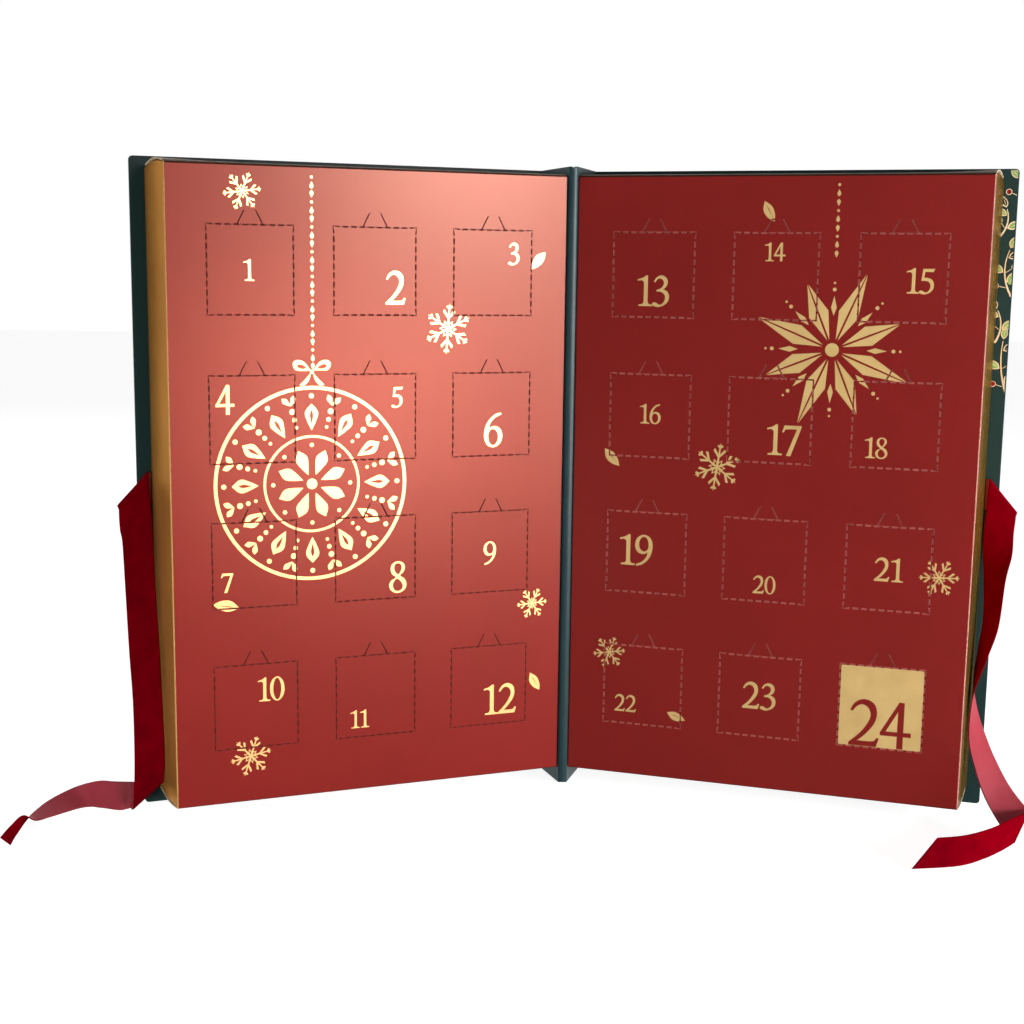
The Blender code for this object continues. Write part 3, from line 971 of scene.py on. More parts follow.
    def star(self, radius: float) -> list[Outline]:
        """A straw star: eight split kites round a dot, with small diamonds and dots between them.

        Args:
            radius: The length of its long kites.

        Returns:
            Its outlines.
        """
        outlines = [circle(0, 0, 0.085 * radius, 14)]
        for k in range(self.star_points):
            angle = math.tau * k / self.star_points + math.pi / self.star_points
            reach = 1.0 if k % 2 else 0.86
            for sign in (1, -1):
                kite = ((0.13, 0.012), (0.5, 0.012), (reach, 0.006), (0.47, 0.125))
                outlines.append(turned([(x, sign * y) for x, y in kite], angle, size=radius))
            between = angle + math.pi / self.star_points
            diamond = [(0.42, 0), (0.52, 0.035), (0.66, 0), (0.52, -0.035)]
            outlines.append(turned(diamond, between, size=radius))
            for share, size, steps in ((0.74, 0.024, 10), (0.82, 0.015, 8)):
                outlines.append(circle(*spoke(between, share * radius), size * radius, steps))
        return outlines


MOTIFS = Motifs()


@dataclass(frozen=True)
class DoorPanel:
    """One door or tab: the body that it rides on, and its outline on the face in metres."""

    name: str
    outline: tuple[Point, ...]


@dataclass(frozen=True)
class DoorPlace:
    """Where a door is: its number, the x of its middle on the face and the z of its foot."""

    number: int
    x: float
    foot_z: float

    @property
    def tab_foot_z(self) -> float:
        """The height of the tab's foot, one cut above the door."""
        return self.foot_z + SIZES.door_height + SIZES.cut

    def door(self) -> DoorPanel:
        """The door's rectangle.

        Returns:
            The door's panel, anticlockwise from its lower left corner.
        """
        half, low, high = SIZES.door_width / 2, self.foot_z, self.foot_z + SIZES.door_height
        corners = ((self.x - half, low), (self.x + half, low), (self.x + half, high), (self.x - half, high))
        return DoorPanel(f"door_{self.number:02d}", corners)

    def tab(self) -> DoorPanel:
        """The tab's trapezium.

        Returns:
            The tab's panel, anticlockwise from its lower left corner.
        """
        foot, top, low = SIZES.tab_foot / 2, SIZES.tab_top / 2, self.tab_foot_z
        high = low + SIZES.tab_height
        corners = ((self.x - foot, low), (self.x + foot, low), (self.x + top, high), (self.x - top, high))
        return DoorPanel(f"tab_{self.number:02d}", corners)


def door_places(side: Side) -> list[DoorPlace]:
    """The twelve doors of a half, in reading order.

    Args:
        side: The half.

    Returns:
        The doors' places.
    """
    columns, rows = len(SIZES.door_s), 4
    before = columns * rows if side is Side.RIGHT else 0
    places = []
    for row in range(rows):
        for column in range(columns):
            outwards = column if side is Side.RIGHT else columns - 1 - column
            number = before + 1 + row * columns + column
            foot_z = SIZES.door_top_foot_z - row * SIZES.row_pitch
            places.append(DoorPlace(number, side.value * SIZES.door_s[outwards], foot_z))
    return places


@dataclass(frozen=True)
class Perforation:
    """The row of cuts round a door: each dash is cut through, and each nib holds the door in the face.

    The bruises are how far the film is crushed back from a cut, where the cut edge's colour shows with its
    painted shade on the left and painted light on the right.
    """

    dashes: int = 10
    nib: float = 0.0015
    nib_reach: float = 0.00028
    bruise: float = 0.00036
    slit_bruise: float = 0.00025
    notch_bruise: float = 0.0002

    def edge(self, start: Vector, end: Vector, dash_out: float, nib_out: float) -> list[Vector]:
        """The points of one edge, without its corners.

        Args:
            start: The edge's first corner.
            end: Its last corner, with the outside on the right.
            dash_out: How far out the outline stands along a dash.
            nib_out: How far out it stands along a nib.

        Returns:
            Four points for each nib.
        """
        along = (end - start).normalized()
        out = Vector((along.y, -along.x))
        pitch = ((end - start).length + self.nib) / self.dashes
        points = []
        for k in range(1, self.dashes):
            first, last = start + along * (k * pitch - self.nib), start + along * (k * pitch)
            points += [first + out * dash_out, first + out * nib_out]
            points += [last + out * nib_out, last + out * dash_out]
        return points

    def outline(
        self, place: DoorPlace, dash_out: float, nib_out: float, notch: float | None = None
    ) -> Outline:
        """The outline of a door, or with a notch that of the opening for the door and its tab.

        Args:
            place: The door's place.
            dash_out: How far the outline stands out of the door along a dash.
            nib_out: How far it stands out along a nib.
            notch: How far the opening stands out of the tab, or None for a door.

        Returns:
            The closed outline.
        """
        corners = [Vector(corner) for corner in place.door().outline]
        middle = (corners[0] + corners[2]) / 2
        points: Outline = []
        for k, corner in enumerate(corners):
            out = corner - middle
            shift = Vector((math.copysign(dash_out, out.x), math.copysign(dash_out, out.y)))
            points.append(tuple(corner + shift))
            edge = [tuple(point) for point in self.edge(corner, corners[(k + 1) % 4], dash_out, nib_out)]
            if notch is not None and k == 2:
                reach = SIZES.tab_foot / 2 + notch
                high = place.tab_foot_z + SIZES.tab_height + SIZES.cut
                top, low = SIZES.tab_top / 2 + notch, place.tab_foot_z
                before = [point for point in edge if point[0] > place.x + reach + self.nib]
                after = [point for point in edge if point[0] < place.x - reach - self.nib]
                level = corner.y + dash_out
                shoulder = max(low, level)
                edge = before + [
                    (place.x + reach, level), (place.x + reach, shoulder), (place.x + top, high),
                    (place.x - top, high), (place.x - reach, shoulder), (place.x - reach, level),
                ]
                edge = list(dict.fromkeys(edge)) + after
            points += edge
        return points


PERFORATION = Perforation()


@dataclass
class HalfMaker:
    """What every maker of one half of the book has: its side and the half's own axes."""

    side: Side

    @property
    def frame(self) -> HalfFrame:
        """The half's own axes."""
        return HalfFrame(self.side)

    def dress(self, piece: bpy.types.Object, slot: str, body: str) -> None:
        """Gives a piece its body, and reports it.

        Args:
            piece: The piece.
            slot: Not used.
            body: The body that it rides on.
        """
        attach(piece, body)
        LOG.info("%s rides on %s", piece.name, body)


@dataclass
class Carton(HalfMaker):
    """A printed carton: its door face, folded walls and bowed end flaps, and the doors and tabs in it.

    The crests are how high the end flaps stand just behind their creases. The dust flaps' start, span and
    taper are shares of the carton's depth, and the smoothing is in degrees.
    """

    print_thickness: float = 0.00012
    fold_radius: float = 0.0006
    flap_shortfall: float = 0.002
    flap_play: float = 0.0004
    end_crease: float = 0.00045
    top_crest: float = 0.0011
    foot_crest: float = 0.0002
    crest_run: float = 0.0028
    bow_reach: int = 6
    dust_flap: float = 0.024
    dust_flap_clearance: float = 0.00015
    dust_flap_start: float = 0.03
    dust_flap_span: float = 0.93
    dust_flap_taper: float = 0.3
    film_lap: float = 0.00001
    fold_inset: float = 0.00002
    flap_smoothing: float = 40

    @property
    def depth(self) -> float:
        """How deep the carton is."""
        return SIZES.carton_end_n - SIZES.face_n

    @property
    def wall_finish(self) -> Finish:
        """The finish of this half's fore-edge: the gold board painted lighter on the left as painted light,
        and darker on the right as painted shade.
        """
        return GOLD_WALL_LIT if self.side is Side.LEFT else GOLD_WALL_SHADED

    @property
    def cut_finish(self) -> Finish:
        """The finish of this half's perforations and slits: darker on the left as painted shade, paler on the
        right as painted light.
        """
        return CUT_EDGE_SHADED if self.side is Side.LEFT else CUT_EDGE_LIT

    def build(self) -> None:
        """Builds every piece of the carton."""
        self.build_face()
        self.build_walls()
        self.build_folds()
        self.build_flaps()
        self.build_dust_flaps()
        for place in door_places(self.side):
            self.build_door(place)
            self.build_tab(place)

    def layer(self, name: str, outlines: list[Outline], front: float, back: float) -> bpy.types.Object:
        """A flat layer of card between two depths, seated in the half's frame."""
        piece = Bench.flat(name, outlines, back - front)
        return Bench.settle(piece, self.frame.face_matrix((front + back) / 2))

    def raw_back(self, piece: bpy.types.Object) -> None:
        """Paints the faces that look into the carton as unprinted board."""
        inwards = self.frame.matrix().to_3x3() @ Vector((0, 1, 0))
        Bench.paint_faces(piece, 1, lambda face: face.normal.dot(inwards) > 0.5)

    def build_face(self) -> None:
        """The door face: a core of boxboard and a printed film layer that is open along each dash."""
        sign, fold = self.side.value, self.fold_radius
        xs = sorted((sign * (SIZES.face_s + fold), sign * (SIZES.face_end_s - fold)))
        low, high = SIZES.face_z + fold, SIZES.face_top_z - fold
        border = [(xs[0], low), (xs[1], low), (xs[1], high), (xs[0], high)]
        front, back = SIZES.face_n, SIZES.face_n + SIZES.card
        split = front + self.print_thickness
        places = door_places(self.side)
        cores = [border] + [PERFORATION.outline(p, SIZES.cut, SIZES.cut, SIZES.cut) for p in places]
        core = self.layer(f"{self.side.word}_face_core", cores, split - self.film_lap, back)
        # The core's cut edges take the perforation colour, with its painted shade on the left and painted
        # light on the right.
        Bench.paint(core, self.cut_finish, RAW_BOARD)
        self.raw_back(core)
        wide, notch = SIZES.cut + PERFORATION.bruise, SIZES.cut + PERFORATION.notch_bruise
        films = [border] + [PERFORATION.outline(p, wide, SIZES.cut, notch) for p in places]
        film = self.layer(f"{self.side.word}_face_film", films, front, split)
        Bench.paint(film, PEARL_CARD)
        face = Bench.join(f"{self.side.word}_door_face", [core, film])
        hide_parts(f"{self.side.word}_carton")
        self.dress(face, "carton_card", self.side.body)

    def build_walls(self) -> None:
        """The folded sleeve behind the face: fore-edge wall, back panel and spine wall in one strip."""
        fold, inset = self.fold_radius, SIZES.card / 2
        near, far = SIZES.face_n + fold, SIZES.carton_end_n - inset
        slope, steps = SIZES.flare / self.depth, 4
        path = [(SIZES.face_end_s + slope * (near - SIZES.face_n) - inset, near)]
        outer = SIZES.face_end_s + SIZES.flare - inset
        for k in range(steps + 1):
            angle = math.pi / 2 * k / steps
            path.append((outer - fold * (1 - math.cos(angle)), far - fold * (1 - math.sin(angle))))
        inner = SIZES.face_s + inset
        for k in range(steps + 1):
            angle = math.pi / 2 * (1 + k / steps)
            path.append((inner + fold * (1 + math.cos(angle)), far - fold * (1 - math.sin(angle))))
        path.append((inner, near))
        low, high = SIZES.face_z + SIZES.wall_drop, SIZES.face_top_z - SIZES.wall_drop

        def place(u: float, v: float) -> Vector:
            """The wall's place for a share round the sleeve and a share up it."""
            s, n = path[round(u * (len(path) - 1))]
            return Vector((self.side.value * s, n, low + (high - low) * v))

        walls = Bench.grid(f"{self.side.word}_carton_walls", len(path) - 1, 12, place)
        Bench.merge(walls)
        self.face_outwards(walls)
        # The walls take this half's copy of the gold board: painted light on the left, painted shade on the
        # right.
        Bench.paint(walls, self.wall_finish, RAW_BOARD)
        self.thicken(walls, 0)
        Bench.settle(walls, self.frame.matrix())
        self.dress(walls, "carton_card", self.side.body)

    def thicken(self, shell: bpy.types.Object, offset: float) -> None:
        """Gives a painted shell the card's thickness, with its inside and its cut edges unprinted."""
        Bench.finish(
            shell, "SOLIDIFY", thickness=SIZES.card, offset=offset, material_offset=1, material_offset_rim=1
        )

    def face_outwards(self, piece: bpy.types.Object) -> None:
        """Turns an open shell so that its normals point away from the carton's middle.

        Args:
            piece: The shell.
        """
        middle = Vector((
            self.side.value * (SIZES.face_s + SIZES.face_end_s) / 2,
            (SIZES.face_n + SIZES.carton_end_n) / 2,
            (SIZES.face_z + SIZES.face_top_z) / 2,
        ))
        out = sum(face.area * face.normal.dot(face.center - middle) for face in piece.data.polygons)
        if out < 0:
            Bench.flip(piece)

    def build_folds(self) -> None:
        """The creased folds from the door face to the walls; the fore-edge fold is painted as a highlight
        line, gold on the left and pink on the right.
        """
        fold, card = self.fold_radius, SIZES.card
        folds = []
        for name, corner_s, sign in (("fore", SIZES.face_end_s, 1), ("spine", SIZES.face_s, -1)):

            def place(u: float, v: float, corner: float = corner_s, way: int = sign) -> Vector:
                """The fold's outer surface.

                Args:
                    u: The share round the fold.
                    v: The share up it.
                    corner: How far out the folded corner is.
                    way: 1 at the fore-edge and -1 at the spine.

                Returns:
                    The place on the half's own axes.
                """
                angle = math.pi / 2 * u
                s = corner - way * fold * (1 - math.sin(angle)) - way * self.fold_inset
                n = SIZES.face_n + fold * (1 - math.cos(angle)) + self.fold_inset
                z = SIZES.face_z + (SIZES.face_top_z - SIZES.face_z) * v
                return Vector((self.side.value * s, n, z))

            strip = Bench.grid(f"{self.side.word}_{name}_fold", 6, 60, place)
            self.face_outwards(strip)
            Bench.finish(strip, "SOLIDIFY", thickness=card, offset=-1)
            # The fore-edge fold is painted as a highlight line; the spine fold keeps the plain film.
            fold_highlight = GOLD_FOLD_HIGHLIGHT if self.side is Side.LEFT else PINK_FOLD_HIGHLIGHT
            Bench.paint(strip, fold_highlight if name == "fore" else PEARL_CARD)
            folds.append(strip)
        strip = Bench.join(f"{self.side.word}_carton_folds", folds)
        Bench.settle(strip, self.frame.matrix())
        self.dress(strip, "carton_card", self.side.body)

    def flap_rise(self, u: float, n: float, crest: float) -> float:
        """How far an end flap stands out of the carton's end.

        Args:
            u: The share of the flap's length, from the spine.
            n: The depth.
            crest: How high the flap stands just behind its crease.

        Returns:
            The rise in metres.
        """
        share = (n - SIZES.face_n) / self.depth
        run = min(1.0, (n - SIZES.face_n) / self.crest_run)
        behind = crest * math.sin(run * math.pi / 2) * (1 - 0.5 * share)
        bow = SIZES.flap_bow * u**self.bow_reach * math.sin(math.pi * share)
        return behind + bow - SIZES.flap_sink * run

    def build_flaps(self) -> None:
        """The end flaps: folded back from the face and bowed outwards, most at the fore-edge."""
        fold, play = self.fold_radius, self.flap_play
        depth = self.depth - self.flap_shortfall
        for end, level, way, rim, fold_shade in (
            ("top", SIZES.face_top_z, 1, self.top_crest, TOP_FOLD_SHADE),
            ("foot", SIZES.face_z, -1, self.foot_crest, FOOT_FOLD_SHADE),
        ):

            def place(u: float, v: float, edge: float = level, sign: int = way, crest: float = rim) -> Vector:
                """The flap's outer surface.

                Args:
                    u: The share of its length.
                    v: The share of its depth.
                    edge: The height of the carton's end.
                    sign: 1 at the top and -1 at the foot.
                    crest: How high the flap stands just behind its crease.

                Returns:
                    The place on the half's own axes.
                """
                flare = SIZES.flare * v * depth / self.depth
                start, stop = SIZES.face_s + play, SIZES.face_end_s + flare - play * 0.5
                n = SIZES.face_n + depth * v
                into = max(0.0, 1 - (n - SIZES.face_n) / fold)
                rise = self.flap_rise(u, n, crest) - fold * (1 - math.sqrt(1 - into * into))
                return Vector((self.side.value * (start + (stop - start) * u), n, edge + sign * rise))

            def eased(u: float, v: float, plan: Callable[[float, float], Vector] = place) -> Vector:
                """The same, with the first fifth of the rows closer together, near the fold."""
                return plan(u, v * v * 0.5 + v * 0.5 if v > 0.2 else v * 0.6)

            flap = Bench.grid(f"{self.side.word}_{end}_flap", 24, 40, eased)
            self.face_outwards(flap)
            # The flap's outside takes the darker board, a painted shade.
            Bench.paint(flap, SHADED_FLAP_BOARD, RAW_BOARD, fold_shade)
            self.thicken(flap, -1)
            # The rows just behind the crease are painted dark as the fold's shade.
            creased = SIZES.face_n + self.end_crease
            Bench.paint_faces(flap, 2, lambda face: face.center.y < creased and face.material_index == 0)
            Bench.settle(flap, self.frame.matrix())
            Bench.smooth(flap, self.flap_smoothing)
            self.dress(flap, "carton_card", self.side.body)

    def build_dust_flaps(self) -> None:
        """The fore-edge wall's own flaps, which close the ends under the bowed flaps."""
        slope = SIZES.flare / self.depth
        # How far in the flap has come from the wall, and the share of its rise that it has reached there.
        path = [(0.0, 0.0), (0.0001, 0.35), (0.0004, 0.7), (0.0011, 0.92), (0.004, 1.0),
                (self.dust_flap * 0.6, 1.0), (self.dust_flap, 1.0)]
        clear = SIZES.card + self.dust_flap_clearance
        for end, level, way, rim in (
            ("top", SIZES.face_top_z, 1, self.top_crest),
            ("foot", SIZES.face_z, -1, self.foot_crest),
        ):

            def place(u: float, v: float, edge: float = level, sign: int = way, crest: float = rim) -> Vector:
                """The dust flap's outer surface, which spans most of the depth and tapers inwards.

                Args:
                    u: The share of its width.
                    v: The share of its path.
                    edge: The height of the carton's end.
                    sign: 1 at the top and -1 at the foot.
                    crest: How high the end flap stands just behind its crease.

                Returns:
                    The place on the half's own axes.
                """
                inwards, share_up = path[round(v * (len(path) - 1))]
                taper = (0.5 - u) * self.dust_flap_taper * max(0.0, v - 0.6)
                share = self.dust_flap_start + self.dust_flap_span * u + taper
                depth = self.depth * share
                along = 1 - inwards / (SIZES.face_end_s - SIZES.face_s)
                under = self.flap_rise(along, SIZES.face_n + depth, crest) - clear
                z = -SIZES.wall_drop + (under + SIZES.wall_drop) * share_up
                s = SIZES.face_end_s + slope * depth - inwards
                return Vector((self.side.value * s, SIZES.face_n + depth, edge + sign * z))

            flap = Bench.grid(f"{self.side.word}_{end}_dust_flap", 12, len(path) - 1, place)
            self.face_outwards(flap)
            # The dust flaps take the same copy: painted light on the left, painted shade on the right.
            Bench.paint(flap, self.wall_finish, RAW_BOARD)
            self.thicken(flap, -1)
            Bench.settle(flap, self.frame.matrix())
            self.dress(flap, "carton_card", self.side.body)

    def build_panel(self, name: str, whole: Outline, printed: Outline) -> None:
        """A door or tab of card and printed film, which replaces the CAD node of its name.

        Args:
            name: The name of its CAD node and of its body.
            whole: The card's outline.
            printed: The film's outline, inside the bruised edge.
        """
        split = SIZES.face_n + self.print_thickness
        core = self.layer(f"{name}_core", [whole], split - self.film_lap, SIZES.face_n + SIZES.card)
        # The panel's cut edges take the perforation colour, with its painted shade on the left and painted
        # light on the right.
        Bench.paint(core, self.cut_finish, RAW_BOARD)
        self.raw_back(core)
        film = self.layer(f"{name}_film", [printed], SIZES.face_n, split)
        Bench.paint(film, PEARL_CARD)
        panel = Bench.join(f"{name}_panel", [core, film])
        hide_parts(name)
        self.dress(panel, "door_card", name)

    def build_door(self, place: DoorPlace) -> None:
        """A door, with the nibs that bridge the cut."""
        outs, reach = (0.0, -PERFORATION.bruise), PERFORATION.nib_reach
        self.build_panel(place.door().name, *(PERFORATION.outline(place, out, reach) for out in outs))

    def build_tab(self, place: DoorPlace) -> None:
        """A finger tab with two slanted slits, still joined to the face along its top.

        Args:
            place: The place of its door.
        """
        foot, top, low = SIZES.tab_foot / 2, SIZES.tab_top / 2, place.tab_foot_z
        high, x = low + SIZES.tab_height + PERFORATION.nib_reach, place.x

        def outline(inset: float) -> Outline:
            """The tab's trapezium, drawn in at its foot and sides."""
            return [(x - foot + inset, low + inset), (x + foot - inset, low + inset),
                    (x + top - inset, high), (x - top + inset, high)]

        self.build_panel(place.tab().name, outline(0.0), outline(PERFORATION.slit_bruise))


# Each number's middle as (x from its door's middle, z above its door's foot) and its height, in millimetres.
NUMBER_PLACES: dict[int, tuple[float, float, float]] = {
    1: (-1.3, 22.2, 10.9), 2: (10.6, 13.9, 17.5), 3: (11.8, 32.4, 11.6), 4: (-13.9, 32.5, 15.2),
    5: (11.7, 32.5, 11.1), 6: (1.0, 13.7, 18.5), 7: (-14.5, 13.6, 10.5), 8: (12.4, 11.2, 17.0),
    9: (0.0, 21.5, 12.8), 10: (7.6, 30.7, 13.0), 11: (-9.4, 9.8, 10.1), 12: (6.3, 13.7, 17.3),
    13: (-0.1, 13.8, 16.4), 14: (-0.8, 34.9, 9.7), 15: (8.2, 21.0, 13.0), 16: (0.1, 23.3, 10.8),
    17: (7.3, 12.3, 16.5), 18: (-9.3, 10.3, 11.0), 19: (-5.7, 23.4, 17.3), 20: (0.4, 9.0, 9.9),
    21: (0.0, 21.8, 12.8), 22: (-9.7, 11.3, 9.8), 23: (0.1, 22.6, 15.1),
}
# Snowflakes as (x, z, radius, turn in degrees) on the face, in millimetres.
SNOWFLAKES: dict[Side, tuple[tuple[float, float, float, float], ...]] = {
    Side.LEFT: (
        (-178.2, 325.9, 10.0, 8), (-70.0, 257.6, 13.4, 26), (-19.8, 105.8, 9.2, 4),
        (-177.9, 33.7, 11.3, 12),
    ),
    Side.RIGHT: ((82.5, 185.6, 13.2, 22), (200.5, 133.4, 10.5, 2), (25.5, 78.5, 9.6, 10)),
}
# Loose leaves as (x, z, length, turn in degrees) on the face, in millimetres.
LOOSE_LEAVES: dict[Side, tuple[tuple[float, float, float, float], ...]] = {
    Side.LEFT: ((-18.7, 293.8, 12.0, 48), (-189.7, 115.0, 14.0, -12), (-17.3, 60.8, 12.0, 118)),
    Side.RIGHT: ((105.6, 320.7, 12.0, 116), (24.8, 188.4, 12.6, 130), (64.5, 45.3, 11.0, 158)),
}


@dataclass
class FoilArtwork(HalfMaker):
    """Everything stamped in foil on one carton, cut where it crosses the doors and tabs.

    The seat is a share of the thickness, the clearance and the number's inset are shares of the margin,
    and the last number's foot and height are in millimetres.
    """

    thickness: float = 0.00004
    seat: float = 0.3
    margin: float = 0.0003
    clearance: float = 0.8
    number_inset: float = 1.5
    near_cut: int = 4
    last_number_foot: float = 13.2
    last_number_height: float = 26.0

    def outlines(self) -> list[Outline]:
        """All foil outlines of this half on its face.

        Returns:
            The outlines in millimetres.
        """
        found: list[Outline] = []

        def add(shapes: list[Outline], x: float, z: float) -> None:
            """Adds shapes round a place."""
            found.extend([(x + u, z + v) for u, v in shape] for shape in shapes)

        for place in door_places(self.side):
            if place.number in NUMBER_PLACES:
                dx, dz, height = NUMBER_PLACES[place.number]
                add(MOTIFS.number(place.number, height), place.x / MM + dx, place.foot_z / MM + dz)
        for x, z, radius, turn in SNOWFLAKES[self.side]:
            add(MOTIFS.snowflake(radius, math.radians(turn)), x, z)
        for x, z, length, turn in LOOSE_LEAVES[self.side]:
            add(MOTIFS.leaf(length, math.radians(turn)), x, z)
        if self.side is Side.LEFT:
            add(MOTIFS.bead_string(333.9, 244.0), -143.0, 0.0)
            add(MOTIFS.bow(10.5), -143.5, 236.0)
            add(MOTIFS.bauble(51.0), -143.9, 177.5)
        else:
            add(MOTIFS.bead_string(334.0, 296.0, 13.0), 140.5, 0.0)
            add(MOTIFS.star(42.0), 140.4, 249.9)
        return found

    def foil_door(self) -> list[Outline]:
        """The last door's own foil: a full gold panel with its number left open, cut by the door's foot.

        Returns:
            The panel's outline and those of its open figures.
        """
        place = door_places(Side.RIGHT)[-1]
        half, low, high = SIZES.door_width / 2, place.foot_z, place.foot_z + SIZES.door_height
        inset = self.margin
        panel = [(place.x - half + inset, low + inset), (place.x + half - inset, low + inset),
                 (place.x + half - inset, high - inset), (place.x - half + inset, high - inset)]
        figures = [[(place.x + u * MM, low + (self.last_number_foot + v) * MM) for u, v in outline]
                   for outline in MOTIFS.number(place.number, self.last_number_height)]
        number_low = low + inset * self.number_inset
        return [panel] + [[(u, max(v, number_low)) for u, v in outline] for outline in figures]

    def build(self) -> None:
        """Draws the artwork flat, cuts it on the doors and tabs, and stamps each part on its own body."""
        shapes = [[(x * MM, z * MM) for x, z in outline] for outline in self.outlines()]
        whole = Bench.flat(f"{self.side.word}_foil", shapes)
        for place in door_places(self.side):
            for panel in (place.tab(), place.door()):
                self.take_off(whole, panel)
        self.stamp(whole, f"{self.side.word}_face_foil", self.side.body, "carton_card")
        if self.side is Side.RIGHT:
            door = Bench.flat("door_24_foil", self.foil_door())
            self.stamp(door, "door_24_foil", "door_24", "door_card")

    def take_off(self, sheet: bpy.types.Object, panel: DoorPanel) -> None:
        """Cuts the part of the foil that lies on one panel off the sheet and stamps it there.

        Args:
            sheet: The flat foil of the whole face.
            panel: The door or tab.
        """
        corners = [Vector(corner) for corner in panel.outline]
        lines = []
        for k, corner in enumerate(corners):
            along = (corners[(k + 1) % len(corners)] - corner).normalized()
            lines.append((corner, Vector((along.y, -along.x))))
        clear = SIZES.cut + self.margin * self.clearance
        near = self.near_cut * clear
        for shift in (-self.margin, clear):
            for corner, out in lines:
                Bench.cut(sheet, corner + out * shift, out, lambda spot: self.past(spot, lines) < near)
        if Bench.open_faces(sheet, lambda face: self.past(face.center.xy, lines) < -self.margin):
            bpy.ops.mesh.separate(type="SELECTED")
            bpy.ops.object.mode_set(mode="OBJECT")
            piece = next(part for part in bpy.context.selected_objects if part is not sheet)
            self.stamp(piece, f"{panel.name}_foil", panel.name, "door_card")
        else:
            bpy.ops.object.mode_set(mode="OBJECT")
        Bench.open_faces(sheet, lambda face: self.past(face.center.xy, lines) < clear)
        bpy.ops.mesh.delete(type="FACE")
        bpy.ops.object.mode_set(mode="OBJECT")

    @staticmethod
    def past(spot: Vector, lines: Sequence[tuple[Vector, Vector]]) -> float:
        """How far a spot lies outside the panel that these lines bound, or below nought inside it."""
        return max((spot - corner).dot(out) for corner, out in lines)

    def stamp(self, piece: bpy.types.Object, name: str, body: str, slot: str) -> None:
        """Gives the flat foil its thickness and seats it on the card.

        Args:
            piece: The flat foil.
            name: The name it gets.
            body: The body that it rides on.
            slot: Its slot in the record.
        """
        piece.name = piece.data.name = name
        Bench.finish(piece, "SOLIDIFY", thickness=self.thickness, offset=0)
        Bench.settle(piece, self.frame.face_matrix(SIZES.face_n - self.thickness * self.seat))
        Bench.paint(piece, STAMPED_FOIL)
        self.dress(piece, slot, body)


class Ink(Enum):
    """The inks that a twig is printed in, each by what it draws."""

    LEAVES = "leaves"
    BERRIES = "berries"
    LINES = "lines"


Drawing = dict[Ink, list[Outline]]


